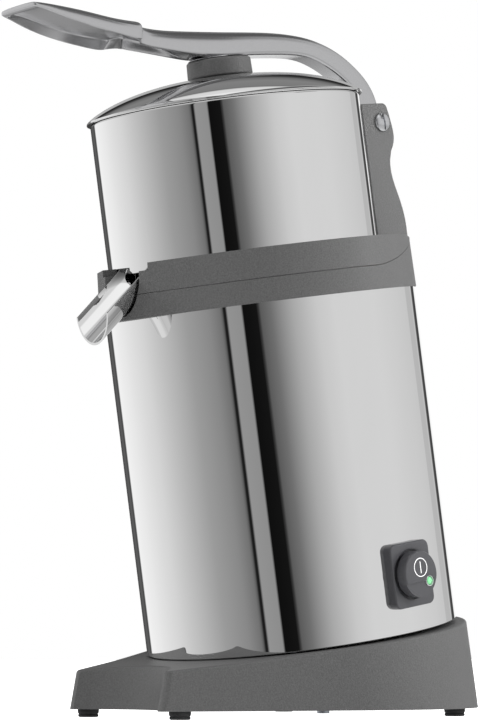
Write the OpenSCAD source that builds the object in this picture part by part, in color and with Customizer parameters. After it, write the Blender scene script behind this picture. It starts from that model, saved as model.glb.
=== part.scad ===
// Lever citrus juicer: a leaning steel body on a cast base, a juice bowl with a spout,
// and a lid with a press cup that a cast lever brings down over a turning reamer.
// The leaning pieces are drawn along the body's own axis, with the front towards -Y,
// and stand_up() leans them. Distances named "ahead" run from that axis to the front.

/* [Stance] */
// Forward lean of the body's axis, in degrees
lean = 9.3; // [6:0.1:12]
// Height of the body's lower end above the table, measured on its axis
seat_h = 51.5; // [49:0.5:58]
// Height of the rubber feet
foot_h = 5; // [4:0.5:7]
// Diameter of a rubber foot
foot_d = 13.5; // [12:0.5:15]

/* [Base] */
// Width of the ledge that the base shows round the tube
base_ledge = 6.4; // [5:0.2:9]
// How much wider the base is at the table than at the tube, on each side
base_flare = 1.2; // [0:0.2:3]
// Distance between the centres of the two front toes
toe_spread = 88; // [76:1:92]
// Distance from the body's foot to the centre of a toe, at the table
toe_reach = 145.5; // [135:0.5:152]
// Radius of a toe's round end
toe_r = 5; // [4.5:0.5:7]
// Slope of the toes' front ends, in degrees
toe_slope = 12.2; // [8:0.2:16]
// Depth of the bay between the toes
bay_depth = 22.5; // [16:0.5:26]
// Radius of the rounded upper edge of the base
base_edge = 4; // [2:0.5:4]
// Thickness of the base's walls
base_wall = 4.5; // [3.5:0.5:6]
// Thickness of the base's top, under the tube
base_top_t = 7; // [5:0.5:9]
// Thickness of the steel plate that closes the base from below
plate_t = 1.5; // [1:0.5:3]
// Distance of the front feet ahead of the body's foot
front_foot_y = 136; // [128:0.5:138]
// Distance between the front feet
front_foot_gap = 92; // [80:1:94]
// Distance of the rear feet behind the body's foot
rear_foot_y = 56; // [40:1:64]
// Distance between the rear feet
rear_foot_gap = 166; // [140:1:170]

/* [Body] */
// Outside diameter of the steel body tube
tube_d = 200; // [196:1:206]
// Wall of the body tube
tube_wall = 1.2; // [0.8:0.1:1.6]
// Length of the body tube
tube_len = 222.8; // [214:0.2:240]
// Thickness of the gasket under the tube
gasket_t = 1.2; // [0.8:0.2:2]
// Diameter of a tie rod between the base and the head
rod_d = 6; // [5:1:8]
// Distance of the tie rods from the body's axis
rod_circle_r = 89; // [86:0.5:90]

/* [Head] */
// How far the collar reaches down over the tube
collar_skirt = 10.8; // [8:0.2:14]
// How far the collar rises above the tube's upper end
collar_rise = 22.6; // [19:0.2:28]
// How far the collar stands proud of the tube
collar_proud = 3; // [2.5:0.5:6]
// Thickness of the deck that carries the bowl and the motor
deck_t = 8; // [6:0.5:10]
// Height of the deck's upper face above the tube's upper end
deck_rise = 3; // [2:0.5:5]
// Radius of the collar's nose, round the spout
nose_r = 44; // [40:1:50]
// How far the nose stands ahead of the collar's round
nose_proud = 10.3; // [7:0.1:14]
// Width of the notch in the nose
notch_w = 48.8; // [42:0.2:56]
// Depth of the notch below the collar's upper edge
notch_drop = 6.6; // [4:0.2:9]
// Clearance of the nose round the spout
spout_gap = 2.8; // [1.5:0.1:4]

/* [Post] */
// Width of the post and of its two ears together
post_w = 38; // [34:1:44]
// Gap between the bowl and the post
post_gap = 15; // [12:0.5:18]
// Depth of the post at its foot, from front to back
post_depth = 29.5; // [27:0.5:33]
// Distance of the pivot behind the post's front face
pivot_back = 17.5; // [16:0.5:19]
// Distance of the pivot below the bowl's rim
pivot_below_rim = 14; // [12:0.5:18]
// Height of the ears above the pivot
ear_rise = 12; // [10:0.5:14]
// Diameter of the pivot screw's shank
pivot_d = 8; // [6:0.5:9]
// Diameter of the pivot screw's head
pivot_head_d = 12.6; // [11:0.2:14]

/* [Bowl] */
// Outside diameter of the juice bowl
bowl_d = 173.6; // [168:0.2:176]
// Sheet thickness of the bowl
bowl_wall = 1; // [0.8:0.1:1.4]
// Height of the bowl
bowl_h = 113; // [100:1:130]
// Distance of the bowl's axis ahead of the body's axis
bowl_ahead = 9.3; // [7:0.1:11]
// Outside radius of the upright tube in the bowl's floor
hub_r = 16; // [15.5:0.5:18]
// Height of that tube above the deck
hub_h = 31; // [26:1:40]

/* [Spout] */
// Outside radius of the spout's channel
spout_r = 16; // [14:0.5:18]
// Depth of the channel
spout_depth = 15; // [12:0.5:15.5]
// Sheet thickness of the spout
spout_wall = 1.2; // [1:0.1:1.6]
// Fall of the spout below square to the axis, in degrees
spout_fall = 35.5; // [30:0.5:40]
// Reach of the spout ahead of the body's axis
spout_reach = 135.5; // [128:0.5:142]

/* [Strainer and reamer] */
// Thickness of the strainer's sheet
strainer_t = 1.2; // [0.8:0.1:2]
// Number of slots in each ring of the strainer
slot_count = 30; // [16:2:36]
// Width of a strainer slot
slot_w = 2; // [1.5:0.1:2.5]
// Radius of the reamer at its foot
reamer_r = 36; // [32:0.5:40]
// Height of the reamer
reamer_h = 54; // [44:1:56]
// Number of ribs on the reamer
rib_count = 10; // [6:2:12]
// Thickness of a reamer rib
rib_t = 3; // [2:0.2:3.4]
// How far a rib stands out of the reamer's body
rib_rise = 3; // [2:0.2:4]

/* [Lid] */
// Outside diameter of the lid
lid_d = 178; // [175:0.5:182]
// Width of the lid's flat rim
lid_rim_w = 6; // [4:0.5:9]
// Sheet thickness of the lid
lid_sheet = 1.2; // [0.9:0.1:1.6]
// Height of the lid's crown above the bowl's rim
lid_rise = 21; // [17:0.5:26]
// Diameter of the knob between the lid and the lever
knob_d = 42; // [38:0.5:46]
// Height of the knob
knob_h = 14; // [12:0.5:18]
// Inside radius of the press cup at its mouth
cup_r = 44; // [42:0.5:46]
// Wall of the press cup
cup_wall = 3; // [2:0.2:4]
// Depth of the press cup
cup_depth = 42; // [38:1:44]
// Distance of the cup's mouth below the bowl's rim
cup_drop = 50; // [49:1:51]

/* [Lever] */
// Width of the lever's neck
neck_w = 15; // [12:0.5:18]
// Width of the lever above the knob
boss_w = 20; // [18:0.5:24]
// Greatest width of the lever's paddle
paddle_w = 45; // [38:0.5:52]
// Width of the paddle's tip
tip_w = 36; // [30:0.5:40]
// Reach of the paddle's tip ahead of the body's axis
tip_reach = 162.5; // [150:0.5:175]
// Height of the paddle's tip above the knob
tip_rise = 35.5; // [28:0.5:42]
// Depth of the lever above the knob
neck_h = 15.5; // [14:0.5:18]
// Radius of the lever's eye round the pivot
eye_r = 12; // [11:0.5:12]
// Radius of the lever's round foot on the knob
foot_boss_r = 19.5; // [14:0.5:20]

/* [Motor] */
// Outside radius of the motor's end shields
shield_r = 62; // [60:0.5:66]
// Outside radius of the motor's stator
stator_r = 55; // [52:0.5:56]
// Inside radius of the stator
stator_bore_r = 30; // [27:0.5:32]
// Length of the stator's stack
stack_h = 65; // [50:1:75]
// Room for the windings beyond each end of the stack
winding_room = 17; // [14:0.5:22]
// Thickness of an end shield
shield_t = 12; // [11:0.5:14]
// Diameter of the motor shaft
shaft_d = 12; // [10:0.5:14]
// Outside diameter of a shaft bearing
bearing_d = 32; // [28:1:36]
// Width of a shaft bearing
bearing_w = 10; // [8:0.5:10.5]
// Radius of the cooling fan
fan_r = 44; // [36:1:48]
// Number of fan blades
blade_count = 9; // [5:1:12]

/* [Switch] */
// Angle of the switch behind the right-hand side, in degrees
switch_turn = 3.5; // [0:0.5:10]
// Height of the switch's centre above the tube's lower end
switch_up = 36; // [30:0.5:44]
// Width of the switch plate
switch_w = 34.5; // [33:0.5:38]
// Height of the switch plate
switch_h = 40; // [36:0.5:44]
// How far the switch plate stands out of the tube
switch_proud = 4.6; // [4:0.1:7]
// Diameter of the power button
button_d = 28.7; // [26:0.1:29]
// How far the button stands out of the switch plate
button_rise = 7.3; // [5:0.1:9]
// Travel of the button
button_travel = 2.5; // [1.5:0.1:2.7]

/* [Electrical] */
// Diameter of the motor capacitor
capacitor_d = 40; // [35:1:44]
// Length of the motor capacitor
capacitor_h = 62; // [50:1:64]
// Bore of the cable gland
gland_bore_d = 8; // [6:0.5:9]
// Height of the cable gland above the table
gland_z = 26; // [24:0.5:30]

/* [Hidden] */
$fn = 96;
// Sides of the rounds that are hulled
hull_fn = 64;
// Clearance of a piece that is seated in another
seat_gap = 0.05;
// Clearance of a piece that moves past another
move_gap = 0.4;
// Overshoot of a cut, so that it leaves no skin
over = 1;

tube_r = tube_d / 2;
bowl_r = bowl_d / 2;
tube_top = gasket_t + tube_len;
collar_foot = tube_top - collar_skirt;
collar_top = tube_top + collar_rise;
collar_r = tube_r + collar_proud;
deck_top = tube_top + deck_rise;
deck_foot = deck_top - deck_t;
rim_s = deck_top + bowl_h;
pivot_s = rim_s - pivot_below_rim;
post_top = pivot_s + ear_rise;
post_front = bowl_r - bowl_ahead + post_gap;
pivot_ahead = -(post_front + pivot_back);
lid_s = rim_s + 0.3;
crown_s = rim_s + lid_rise;
knob_top = crown_s + knob_h;
hub_top = deck_top + hub_h;
shaft_r = shaft_d / 2;

// The base's outline: the rear round, and the toes that lean back as they rise
base_r = tube_r + base_ledge;
base_foot_r = base_r + base_flare;
rear_shift = (seat_h - foot_h) * tan(lean);
toe_top_ahead = (toe_reach - (seat_h - foot_h) * tan(toe_slope))
    / (1 - tan(lean) * tan(toe_slope)) / cos(lean);
bay_half = toe_spread / 2;
bay_r = (bay_half * bay_half + bay_depth * bay_depth) / (2 * bay_depth);

// The part's centre lies midway between the paddle's tip and the base's rear
tip_s = knob_top + tip_rise;
front_extent = tip_reach * cos(lean) + tip_s * sin(lean);
rear_extent = rear_shift + base_foot_r;
stand_y = (front_extent - rear_extent) / 2;

// The motor, downwards from the deck
top_shield_foot = deck_foot - shield_t;
stack_top = top_shield_foot - winding_room;
stack_foot = stack_top - stack_h;
bottom_shield_top = stack_foot - winding_room;
bottom_shield_foot = bottom_shield_top - shield_t;
fan_top = bottom_shield_foot - 6;
fan_h = 16;
shaft_foot = fan_top - fan_h - 3;
shaft_top = hub_top + 28;
bolt_circle_r = (shield_r + stator_r) / 2;
bolt_r = 2.4;

// The reamer above the bowl's upright tube
reamer_foot = hub_top + 5;
pin_s = hub_top - 3;
pin_r = 2;
reamer_neck_r = hub_r - 5;

// Points of an arc round [cx, cy], from angle a0 to a1, in n steps
function arc_pts(cx, cy, r, a0, a1, n) =
    [for (i = [0:n]) [cx + r * cos(a0 + (a1 - a0) * i / n), cy + r * sin(a0 + (a1 - a0) * i / n)]];

// Points of a cubic curve with end points p0, p3 and handles p1, p2
function curve_pts(p0, p1, p2, p3, n) =
    [for (i = [0:n]) let (t = i / n, u = 1 - t)
        u * u * u * p0 + 3 * u * u * t * p1 + 3 * u * t * t * p2 + t * t * t * p3];

function mirrored(pts) = [for (i = [len(pts) - 1:-1:0]) [-pts[i][0], pts[i][1]]];

// The origin of the base: on the table, under the tube's lower end
module on_table() {
    translate([0, stand_y, 0]) children();
}

// The body's own axis, leaning forward from the base
module stand_up() {
    translate([0, stand_y, seat_h]) rotate([lean, 0, 0]) children();
}

// The bowl's and the motor's axis, parallel to the body's
module on_bowl_axis() {
    stand_up() translate([0, -bowl_ahead, 0]) children();
}

// A ring, from z0 to z1
module ring(r_out, r_in, z0, z1) {
    difference() {
        translate([0, 0, z0]) cylinder(r = r_out, h = z1 - z0);
        translate([0, 0, z0 - over]) cylinder(r = r_in, h = z1 - z0 + 2 * over);
    }
}

// An outline of [ahead, up] points, as a plate of width w across the body
module side_plate(points, w) {
    rotate([0, 0, -90]) rotate([90, 0, 0])
        linear_extrude(height = w, center = true) polygon(points);
}

// A shape that is repeated at the four tie rods
module at_rods() {
    for (a = [45:90:315]) rotate([0, 0, a]) translate([rod_circle_r, 0, 0]) children();
}

// A shape that is repeated at the four motor bolts
module at_motor_bolts() {
    for (a = [45:90:315]) rotate([0, 0, a]) translate([bolt_circle_r, 0, 0]) children();
}

// A shape that is repeated at the four feet
module at_feet() {
    on_table() for (side = [-1, 1]) {
        translate([side * front_foot_gap / 2, -front_foot_y, 0]) children();
        translate([side * rear_foot_gap / 2, rear_foot_y, 0]) children();
    }
}

// A shape that is repeated at the base plate's screws
module at_plate_screws() {
    on_table() for (p = [[-62, -36], [62, -36], [0, -96], [0, 74]])
        translate([p[0], p[1], 0]) children();
}

// The base's closed form, taken in by inset, with its top lowered by drop
module base_form(inset, drop, edge) {
    hull() {
        on_table() translate([0, 0, foot_h]) {
            translate([0, rear_shift, 0]) cylinder(r = base_foot_r - inset, h = 0.2, $fn = hull_fn);
            for (side = [-1, 1]) translate([side * toe_spread / 2, -toe_reach, 0])
                cylinder(r = toe_r - min(inset, toe_r - 1), h = 0.2, $fn = 24);
        }
        stand_up() for (a = [0:30:90]) let (cut = edge * (1 - cos(a)) + inset)
            translate([0, 0, -drop - edge * (1 - sin(a)) - 0.2]) {
                cylinder(r = base_r - cut, h = 0.2, $fn = hull_fn);
                for (side = [-1, 1]) translate([side * toe_spread / 2, -toe_top_ahead, 0])
                    cylinder(r = toe_r - min(cut, toe_r - 0.9), h = 0.2, $fn = 24);
            }
    }
}

// The bay between the toes, grown by extra
module bay(extra) {
    on_table() translate([0, -(toe_reach + toe_r - bay_depth + bay_r), foot_h])
        rotate([-toe_slope, 0, 0]) cylinder(r = bay_r + extra, h = 160, center = true);
}

gland_seat_y = rear_extent - 8.5;
gland_barrel_r = gland_bore_d / 2 + 4;
gland_flange_t = 3;
gland_nut_t = 4;
gland_pad = base_wall + 6;
boss_r = 7.5;
foot_pin_r = 2;
air_hole_r = 38;
// The tie rods' nuts sit in shallow spot faces under the base's top
nut_seat = 0.8 - base_top_t;
nut_h = 5;

module base_casting() {
    color([0.40, 0.40, 0.41]) difference() {
        base_form(0, 0, base_edge);
        bay(0);
        // The hollow, where the bosses begin above the plate
        difference() {
            base_form(base_wall, base_top_t, base_edge);
            bay(base_wall);
            at_feet() translate([0, 0, foot_h + plate_t]) cylinder(r = boss_r, h = 2 * seat_h);
            at_plate_screws() translate([0, 0, foot_h + plate_t])
                cylinder(r = boss_r - 1.5, h = 2 * seat_h);
            on_table() translate([0, gland_seat_y - gland_pad, gland_z]) rotate([-90, 0, 0])
                cylinder(r = gland_barrel_r + 6, h = gland_pad + base_ledge + 20);
        }
        at_feet() translate([0, 0, foot_h - over]) cylinder(r = foot_pin_r, h = 12 + over);
        at_plate_screws() translate([0, 0, foot_h - over]) cylinder(r = foot_pin_r, h = 12 + over);
        // The gland's hole and its flat seat
        on_table() translate([0, gland_seat_y, gland_z]) rotate([-90, 0, 0]) {
            cylinder(r = gland_barrel_r + 4.5, h = 30);
            translate([0, 0, -30]) cylinder(r = gland_barrel_r + seat_gap, h = 40);
        }
        stand_up() {
            at_rods() translate([0, 0, -40]) cylinder(r = rod_d / 2 + 0.3, h = 80);
            at_rods() translate([0, 0, nut_seat - 40]) cylinder(r = rod_d + 2, h = 40);
            translate([0, -bowl_ahead, -40]) cylinder(r = air_hole_r, h = 80);
        }
    }
}

module base_plate() {
    color([0.62, 0.62, 0.63]) difference() {
        intersection() {
            base_form(base_wall + move_gap, base_top_t, base_edge);
            on_table() translate([-200, -200, foot_h]) cube([400, 400, plate_t]);
        }
        bay(base_wall + move_gap);
        at_feet() cylinder(r = foot_pin_r + seat_gap, h = 40);
        at_plate_screws() cylinder(r = foot_pin_r + seat_gap, h = 40);
        on_table() for (i = [-4:4]) translate([-30, i * 9 - 1.5, 0]) cube([60, 3, 40]);
    }
}

module base_plate_screws() {
    color([0.75, 0.75, 0.76]) at_plate_screws() {
        translate([0, 0, foot_h - 2.2]) cylinder(r = 3.8, h = 2.2);
        translate([0, 0, foot_h - 0.5]) cylinder(r = foot_pin_r - seat_gap, h = 11);
    }
}

module rubber_feet() {
    color([0.10, 0.10, 0.10]) at_feet() difference() {
        cylinder(r1 = foot_d / 2 - 0.5, r2 = foot_d / 2, h = foot_h);
        translate([0, 0, -over]) cylinder(r = 3.8, h = 2.5 + over);
        cylinder(r = foot_pin_r + seat_gap, h = foot_h + over);
    }
}

module foot_screws() {
    color([0.75, 0.75, 0.76]) at_feet() {
        translate([0, 0, 0.8]) cylinder(r = 3.6, h = 1.7);
        translate([0, 0, 2]) cylinder(r = foot_pin_r - seat_gap, h = foot_h + 8);
    }
}

module cable_gland() {
    color([0.12, 0.12, 0.12]) on_table() translate([0, gland_seat_y, gland_z])
        rotate([-90, 0, 0]) difference() {
            union() {
                cylinder(r = gland_barrel_r + 3.5, h = gland_flange_t);
                translate([0, 0, -gland_pad - gland_nut_t - 1])
                    cylinder(r = gland_barrel_r, h = gland_pad + gland_nut_t + 2);
            }
            translate([0, 0, -60]) cylinder(r = gland_bore_d / 2, h = 120);
        }
}

module gland_nut() {
    color([0.12, 0.12, 0.12]) on_table() translate([0, gland_seat_y - gland_pad, gland_z])
        rotate([90, 0, 0]) difference() {
            cylinder(r = gland_barrel_r + 5, h = gland_nut_t, $fn = 6);
            translate([0, 0, -over]) cylinder(r = gland_barrel_r + seat_gap, h = gland_nut_t + 2 * over);
        }
}

module base_gasket() {
    color([0.08, 0.08, 0.08]) stand_up() ring(tube_r - 0.4, tube_r - 3.4, 0, gasket_t);
}

rod_foot = nut_seat - nut_h - 3;
rod_boss_foot = deck_foot - 14;

module tie_rods() {
    color([0.75, 0.75, 0.76]) stand_up() at_rods()
        translate([0, 0, rod_foot]) cylinder(r = rod_d / 2, h = deck_foot + 4 - rod_foot);
}

module tie_rod_nuts() {
    color([0.75, 0.75, 0.76]) stand_up() at_rods() translate([0, 0, nut_seat - nut_h])
        difference() {
            cylinder(r = rod_d * 0.95, h = nut_h, $fn = 6);
            translate([0, 0, -over]) cylinder(r = rod_d / 2 + seat_gap, h = nut_h + 2 * over);
        }
}

// The switch's own frame: its axis leaves the tube square, at the switch's height
module at_switch() {
    stand_up() rotate([0, 0, switch_turn]) translate([0, 0, switch_up]) children();
}

switch_body_w = switch_w - 10;
switch_body_h = switch_h - 12;
switch_face = tube_r + switch_proud;
recess_r = button_d / 2 + 0.9;
recess_floor = tube_r + 2;
stem_r = 7;
stem_end = tube_r - 4;

module body_tube() {
    color([0.80, 0.80, 0.81]) difference() {
        stand_up() ring(tube_r, tube_r - tube_wall, gasket_t, tube_top);
        at_switch() translate([tube_r - 20, -switch_body_w / 2 - move_gap, -switch_body_h / 2 - move_gap])
            cube([40, switch_body_w + 2 * move_gap, switch_body_h + 2 * move_gap]);
    }
}

// The collar's outline, as [across, ahead] points: the round, the nose and the rear block
nose_reach = collar_r + nose_proud;
nose_centre = nose_reach - nose_r;
nose_turn = asin((collar_r - nose_r) / nose_centre);
block_half = post_w / 2;
block_turn = acos(block_half / collar_r);
block_rear = post_front + post_depth;
collar_half = concat(
    [[block_half, -block_rear]],
    arc_pts(0, 0, collar_r, -block_turn, nose_turn, 36),
    arc_pts(0, nose_centre, nose_r, nose_turn, 90, 10)
);

module collar_outline() {
    mirror([0, 1, 0]) polygon(concat(collar_half, mirrored(collar_half)));
}

// The post's side outline, as [ahead, up] points
ear_back = pivot_ahead - 9.5;
post_outline = concat(
    [[-post_front, collar_foot + 1], [-post_front, post_top]],
    arc_pts(ear_back + 6.2, post_top - 4, 4, 90, 165, 5),
    curve_pts([ear_back + 1, pivot_s + 4], [ear_back - 1, pivot_s - 7],
        [ear_back - 3, pivot_s - 12], [ear_back + 3, pivot_s - 20], 8),
    curve_pts([ear_back + 5, pivot_s - 26], [ear_back + 8, pivot_s - 42],
        [-block_rear + 1, pivot_s - 50], [-block_rear, pivot_s - 74], 10),
    [[-block_rear, collar_foot + 1]]
);

// The spout's own frame: it runs towards -Y with its keel on z = 0
module at_spout() {
    stand_up() translate([0, -(bowl_ahead + bowl_r), deck_top + 1.2])
        rotate([spout_fall, 0, 0]) children();
}

// A half-round channel of radius r along the spout, open at its top
module channel(r, from_y, to_y, high) {
    translate([0, from_y, spout_r]) rotate([90, 0, 0]) cylinder(r = r, h = from_y - to_y);
    translate([-r, to_y, spout_r]) cube([2 * r, from_y - to_y, high]);
}

slot_half = neck_w / 2 + move_gap;
slot_floor = pivot_s - eye_r - 1;
bowl_seat_r = bowl_r + 0.8;

module head_casting() {
    color([0.43, 0.43, 0.44]) difference() {
        union() {
            stand_up() {
                translate([0, 0, collar_foot]) linear_extrude(height = collar_top - collar_foot)
                    collar_outline();
                side_plate(post_outline, post_w);
                at_rods() translate([0, 0, rod_boss_foot])
                    cylinder(r = rod_d / 2 + 4.5, h = collar_foot + over - rod_boss_foot);
            }
        }
        stand_up() {
            // The rebate for the tube, outside the deck's spigot
            ring(tube_r + 0.3, tube_r - tube_wall - 0.3, collar_foot - over, tube_top);
            difference() {
                translate([0, 0, collar_foot - over])
                    cylinder(r = tube_r - 10, h = deck_foot - collar_foot + over);
                at_rods() translate([0, 0, rod_boss_foot - over])
                    cylinder(r = rod_d / 2 + 4.5, h = 40);
            }
            at_rods() translate([0, 0, rod_boss_foot - over])
                cylinder(r = rod_d / 2 + seat_gap, h = deck_foot + 4.5 - rod_boss_foot + over);
            translate([0, -bowl_ahead, deck_top]) cylinder(r = bowl_seat_r, h = 100);
            translate([0, -bowl_ahead, deck_foot - over]) cylinder(r = shaft_r + 8, h = deck_t + 2 * over);
            translate([0, -bowl_ahead, deck_foot - over]) at_motor_bolts()
                cylinder(r = bolt_r + seat_gap, h = 6 + over);
            // The notch in the nose
            translate([-notch_w / 2, -nose_reach - 20, collar_top - notch_drop])
                cube([notch_w, nose_reach + 20 - bowl_ahead - bowl_r, 40]);
            // The slot between the ears, and the pivot's bore
            translate([-slot_half, -pivot_ahead - 40, slot_floor]) cube([2 * slot_half, 80, 80]);
            translate([0, -pivot_ahead, pivot_s]) rotate([0, 90, 0])
                cylinder(r = pivot_d / 2 + seat_gap, h = post_w + 20, center = true);
        }
        // The spout's way through the nose, which leaves the deck under the bowl
        difference() {
            at_spout() channel(spout_r + spout_gap, 20, -80, 60);
            on_bowl_axis() cylinder(r = bowl_r + 0.3, h = rim_s);
        }
    }
}

module motor_top_shield() {
    color([0.66, 0.66, 0.67]) on_bowl_axis() difference() {
        union() {
            translate([0, 0, top_shield_foot]) cylinder(r = shield_r, h = shield_t);
            ring(stator_r, stator_r - 5, stack_top, top_shield_foot + over);
        }
        translate([0, 0, top_shield_foot - over]) cylinder(r = bearing_d / 2 + seat_gap, h = bearing_w + over);
        translate([0, 0, top_shield_foot]) cylinder(r = shaft_r + 2, h = shield_t + over);
        at_motor_bolts() translate([0, 0, top_shield_foot - over])
            cylinder(r = bolt_r + seat_gap, h = shield_t + 2 * over);
    }
}

module motor_stator() {
    color([0.35, 0.35, 0.37]) on_bowl_axis() ring(stator_r, stator_bore_r, stack_foot, stack_top);
}

// One winding head: a ring with rounded edges
module winding_head(foot) {
    reach = winding_room - 4;
    ring(stator_r - 7, stator_bore_r + 3, foot, foot + reach);
}

module motor_windings() {
    color([0.60, 0.33, 0.16]) on_bowl_axis() {
        winding_head(stack_top);
        winding_head(stack_foot - winding_room + 4);
    }
}

module motor_bottom_shield() {
    color([0.66, 0.66, 0.67]) on_bowl_axis() difference() {
        union() {
            translate([0, 0, bottom_shield_foot]) cylinder(r = shield_r, h = shield_t);
            ring(stator_r, stator_r - 5, bottom_shield_top - over, stack_foot);
        }
        translate([0, 0, bottom_shield_top - bearing_w])
            cylinder(r = bearing_d / 2 + seat_gap, h = bearing_w + over);
        translate([0, 0, bottom_shield_foot - over]) cylinder(r = shaft_r + 2, h = shield_t);
        at_motor_bolts() translate([0, 0, bottom_shield_foot - over])
            cylinder(r = bolt_r + seat_gap, h = shield_t + 2 * over);
    }
}

module motor_bolts() {
    color([0.75, 0.75, 0.76]) on_bowl_axis() at_motor_bolts() {
        translate([0, 0, bottom_shield_foot - 4]) cylinder(r = bolt_r + 1.6, h = 4);
        translate([0, 0, bottom_shield_foot - 1])
            cylinder(r = bolt_r, h = deck_foot + 5 - bottom_shield_foot);
    }
}

module upper_bearing() {
    color([0.70, 0.70, 0.72]) on_bowl_axis()
        ring(bearing_d / 2, shaft_r + seat_gap, top_shield_foot, top_shield_foot + bearing_w);
}

module lower_bearing() {
    color([0.70, 0.70, 0.72]) on_bowl_axis()
        ring(bearing_d / 2, shaft_r + seat_gap, bottom_shield_top - bearing_w, bottom_shield_top);
}

module shaft_seal() {
    color([0.10, 0.10, 0.10]) on_bowl_axis()
        ring(shaft_r + 8 - seat_gap, shaft_r + seat_gap, deck_foot + 1, deck_top);
}

capacitor_at = [-26, 60];
capacitor_r = capacitor_d / 2;

module at_capacitor() {
    stand_up() translate([capacitor_at[0], capacitor_at[1], 0]) children();
}

module capacitor() {
    color([0.82, 0.82, 0.80]) at_capacitor() {
        translate([0, 0, 0.5]) cylinder(r = capacitor_r, h = capacitor_h);
        for (side = [-1, 1]) translate([side * 5 - 0.4, -3, capacitor_h]) cube([0.8, 6, 7]);
    }
}

module capacitor_clip() {
    color([0.75, 0.75, 0.76]) at_capacitor() {
        ring(capacitor_r + 2, capacitor_r + seat_gap, 0, 14);
        difference() {
            translate([-7, capacitor_r + 0.5, 0]) cube([14, 9, 2]);
            translate([0, capacitor_r + 5.5, -over]) cylinder(r = 2, h = 2 + 2 * over);
        }
    }
}

module terminal_block() {
    color([0.85, 0.84, 0.78]) stand_up() translate([-78, -20, 0]) difference() {
        cube([20, 44, 16]);
        for (i = [0:3]) translate([10, 7 + i * 10, 6]) cylinder(r = 3, h = 20);
    }
}

module bowl() {
    color([0.80, 0.80, 0.81]) difference() {
        on_bowl_axis() {
            ring(bowl_r, bowl_r - bowl_wall, deck_top, rim_s);
            ring(bowl_r - bowl_wall / 2, hub_r - bowl_wall / 2, deck_top, deck_top + bowl_wall);
            ring(hub_r, hub_r - 1.5, deck_top, hub_top);
        }
        intersection() {
            at_spout() channel(spout_r - spout_wall, 10, -20, 0.01);
            at_spout() translate([-50, -40, 0]) cube([100, 80, spout_depth]);
            stand_up() translate([-60, -bowl_ahead - bowl_r - 20, deck_top + bowl_wall])
                cube([120, 50, 60]);
        }
    }
}

module spout() {
    color([0.80, 0.80, 0.81]) difference() {
        at_spout() difference() {
            translate([0, 10, spout_r]) rotate([90, 0, 0]) cylinder(r = spout_r, h = 90);
            translate([0, 10 + over, spout_r]) rotate([90, 0, 0])
                cylinder(r = spout_r - spout_wall, h = 90 + 2 * over);
            translate([-50, -100, spout_depth]) cube([100, 130, 60]);
        }
        on_bowl_axis() cylinder(r = bowl_r + seat_gap, h = rim_s);
        stand_up() translate([-60, -spout_reach - 60, 0]) cube([120, 60, rim_s]);
    }
}

strainer_s = hub_top - 10;
strainer_r = bowl_r - bowl_wall - 0.6;

module strainer() {
    color([0.78, 0.78, 0.79]) on_bowl_axis() difference() {
        union() {
            ring(strainer_r, hub_r + 1, strainer_s, strainer_s + strainer_t);
            ring(strainer_r, strainer_r - strainer_t, strainer_s, strainer_s + 8);
            ring(hub_r + 2, hub_r + 0.3, strainer_s, hub_top + 1.5);
            ring(hub_r + 2, hub_r - 2.5, hub_top, hub_top + 1.5);
        }
        for (band = [0:2]) for (i = [0:slot_count - 1])
            rotate([0, 0, (i + band / 2) * 360 / slot_count])
                translate([hub_r + 12 + band * 18, -slot_w / 2, strainer_s - over])
                    cube([13, slot_w, strainer_t + 2 * over]);
    }
}

module switch_plate() {
    color([0.20, 0.20, 0.21]) at_switch() difference() {
        translate([tube_r - 6, 0, 0]) rotate([0, 90, 0]) linear_extrude(height = switch_face - tube_r + 6)
            plate_outline();
        translate([0, 0, -60]) cylinder(r = tube_r + seat_gap, h = 120);
        translate([recess_floor, 0, 0]) rotate([0, 90, 0]) cylinder(r = recess_r, h = 20);
        translate([0, 0, 0]) rotate([0, 90, 0]) cylinder(r = stem_r + move_gap, h = 200);
    }
}

// The plate's outline, with [down, across] points
module plate_outline() {
    r = 5;
    dx = switch_h / 2 - r;
    dy = switch_w / 2 - r;
    polygon(concat(arc_pts(dx, dy, r, 0, 90, 6), arc_pts(-dx, dy, r, 90, 180, 6),
        arc_pts(-dx, -dy, r, 180, 270, 6), arc_pts(dx, -dy, r, 270, 360, 6)));
}

module switch_body() {
    color([0.14, 0.14, 0.15]) at_switch() difference() {
        intersection() {
            translate([tube_r - 32, -switch_body_w / 2, -switch_body_h / 2])
                cube([34, switch_body_w, switch_body_h]);
            translate([0, 0, -60]) cylinder(r = tube_r - seat_gap, h = 120);
        }
        translate([stem_end - button_travel - 1, 0, 0]) rotate([0, 90, 0])
            cylinder(r = stem_r + move_gap, h = 40);
    }
}

pivot_near = post_w / 2;

module at_pivot() {
    stand_up() translate([0, -pivot_ahead, pivot_s]) rotate([0, 90, 0]) children();
}

module pivot_screw() {
    color([0.80, 0.80, 0.81]) at_pivot() difference() {
        union() {
            translate([0, 0, -pivot_near - 8]) cylinder(r = pivot_d / 2, h = post_w + 8.5);
            translate([0, 0, pivot_near]) cylinder(r = pivot_head_d / 2, h = 1);
            intersection() {
                translate([0, 0, pivot_near + 2.6 - 9.4]) sphere(r = 9.4);
                translate([0, 0, pivot_near + 0.5]) cylinder(r = pivot_head_d / 2, h = 4);
            }
        }
        translate([-8, -0.7, pivot_near + 1.2]) cube([16, 1.4, 4]);
    }
}

module pivot_nut() {
    color([0.80, 0.80, 0.81]) at_pivot() {
        difference() {
            union() {
                translate([0, 0, -pivot_near - 7.5]) cylinder(r = pivot_d * 0.9, h = 6, $fn = 6);
                translate([0, 0, -pivot_near - 1.5]) cylinder(r = pivot_d, h = 1.5);
            }
            translate([0, 0, -pivot_near - 20]) cylinder(r = pivot_d / 2 + seat_gap, h = 30);
        }
    }
}

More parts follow.
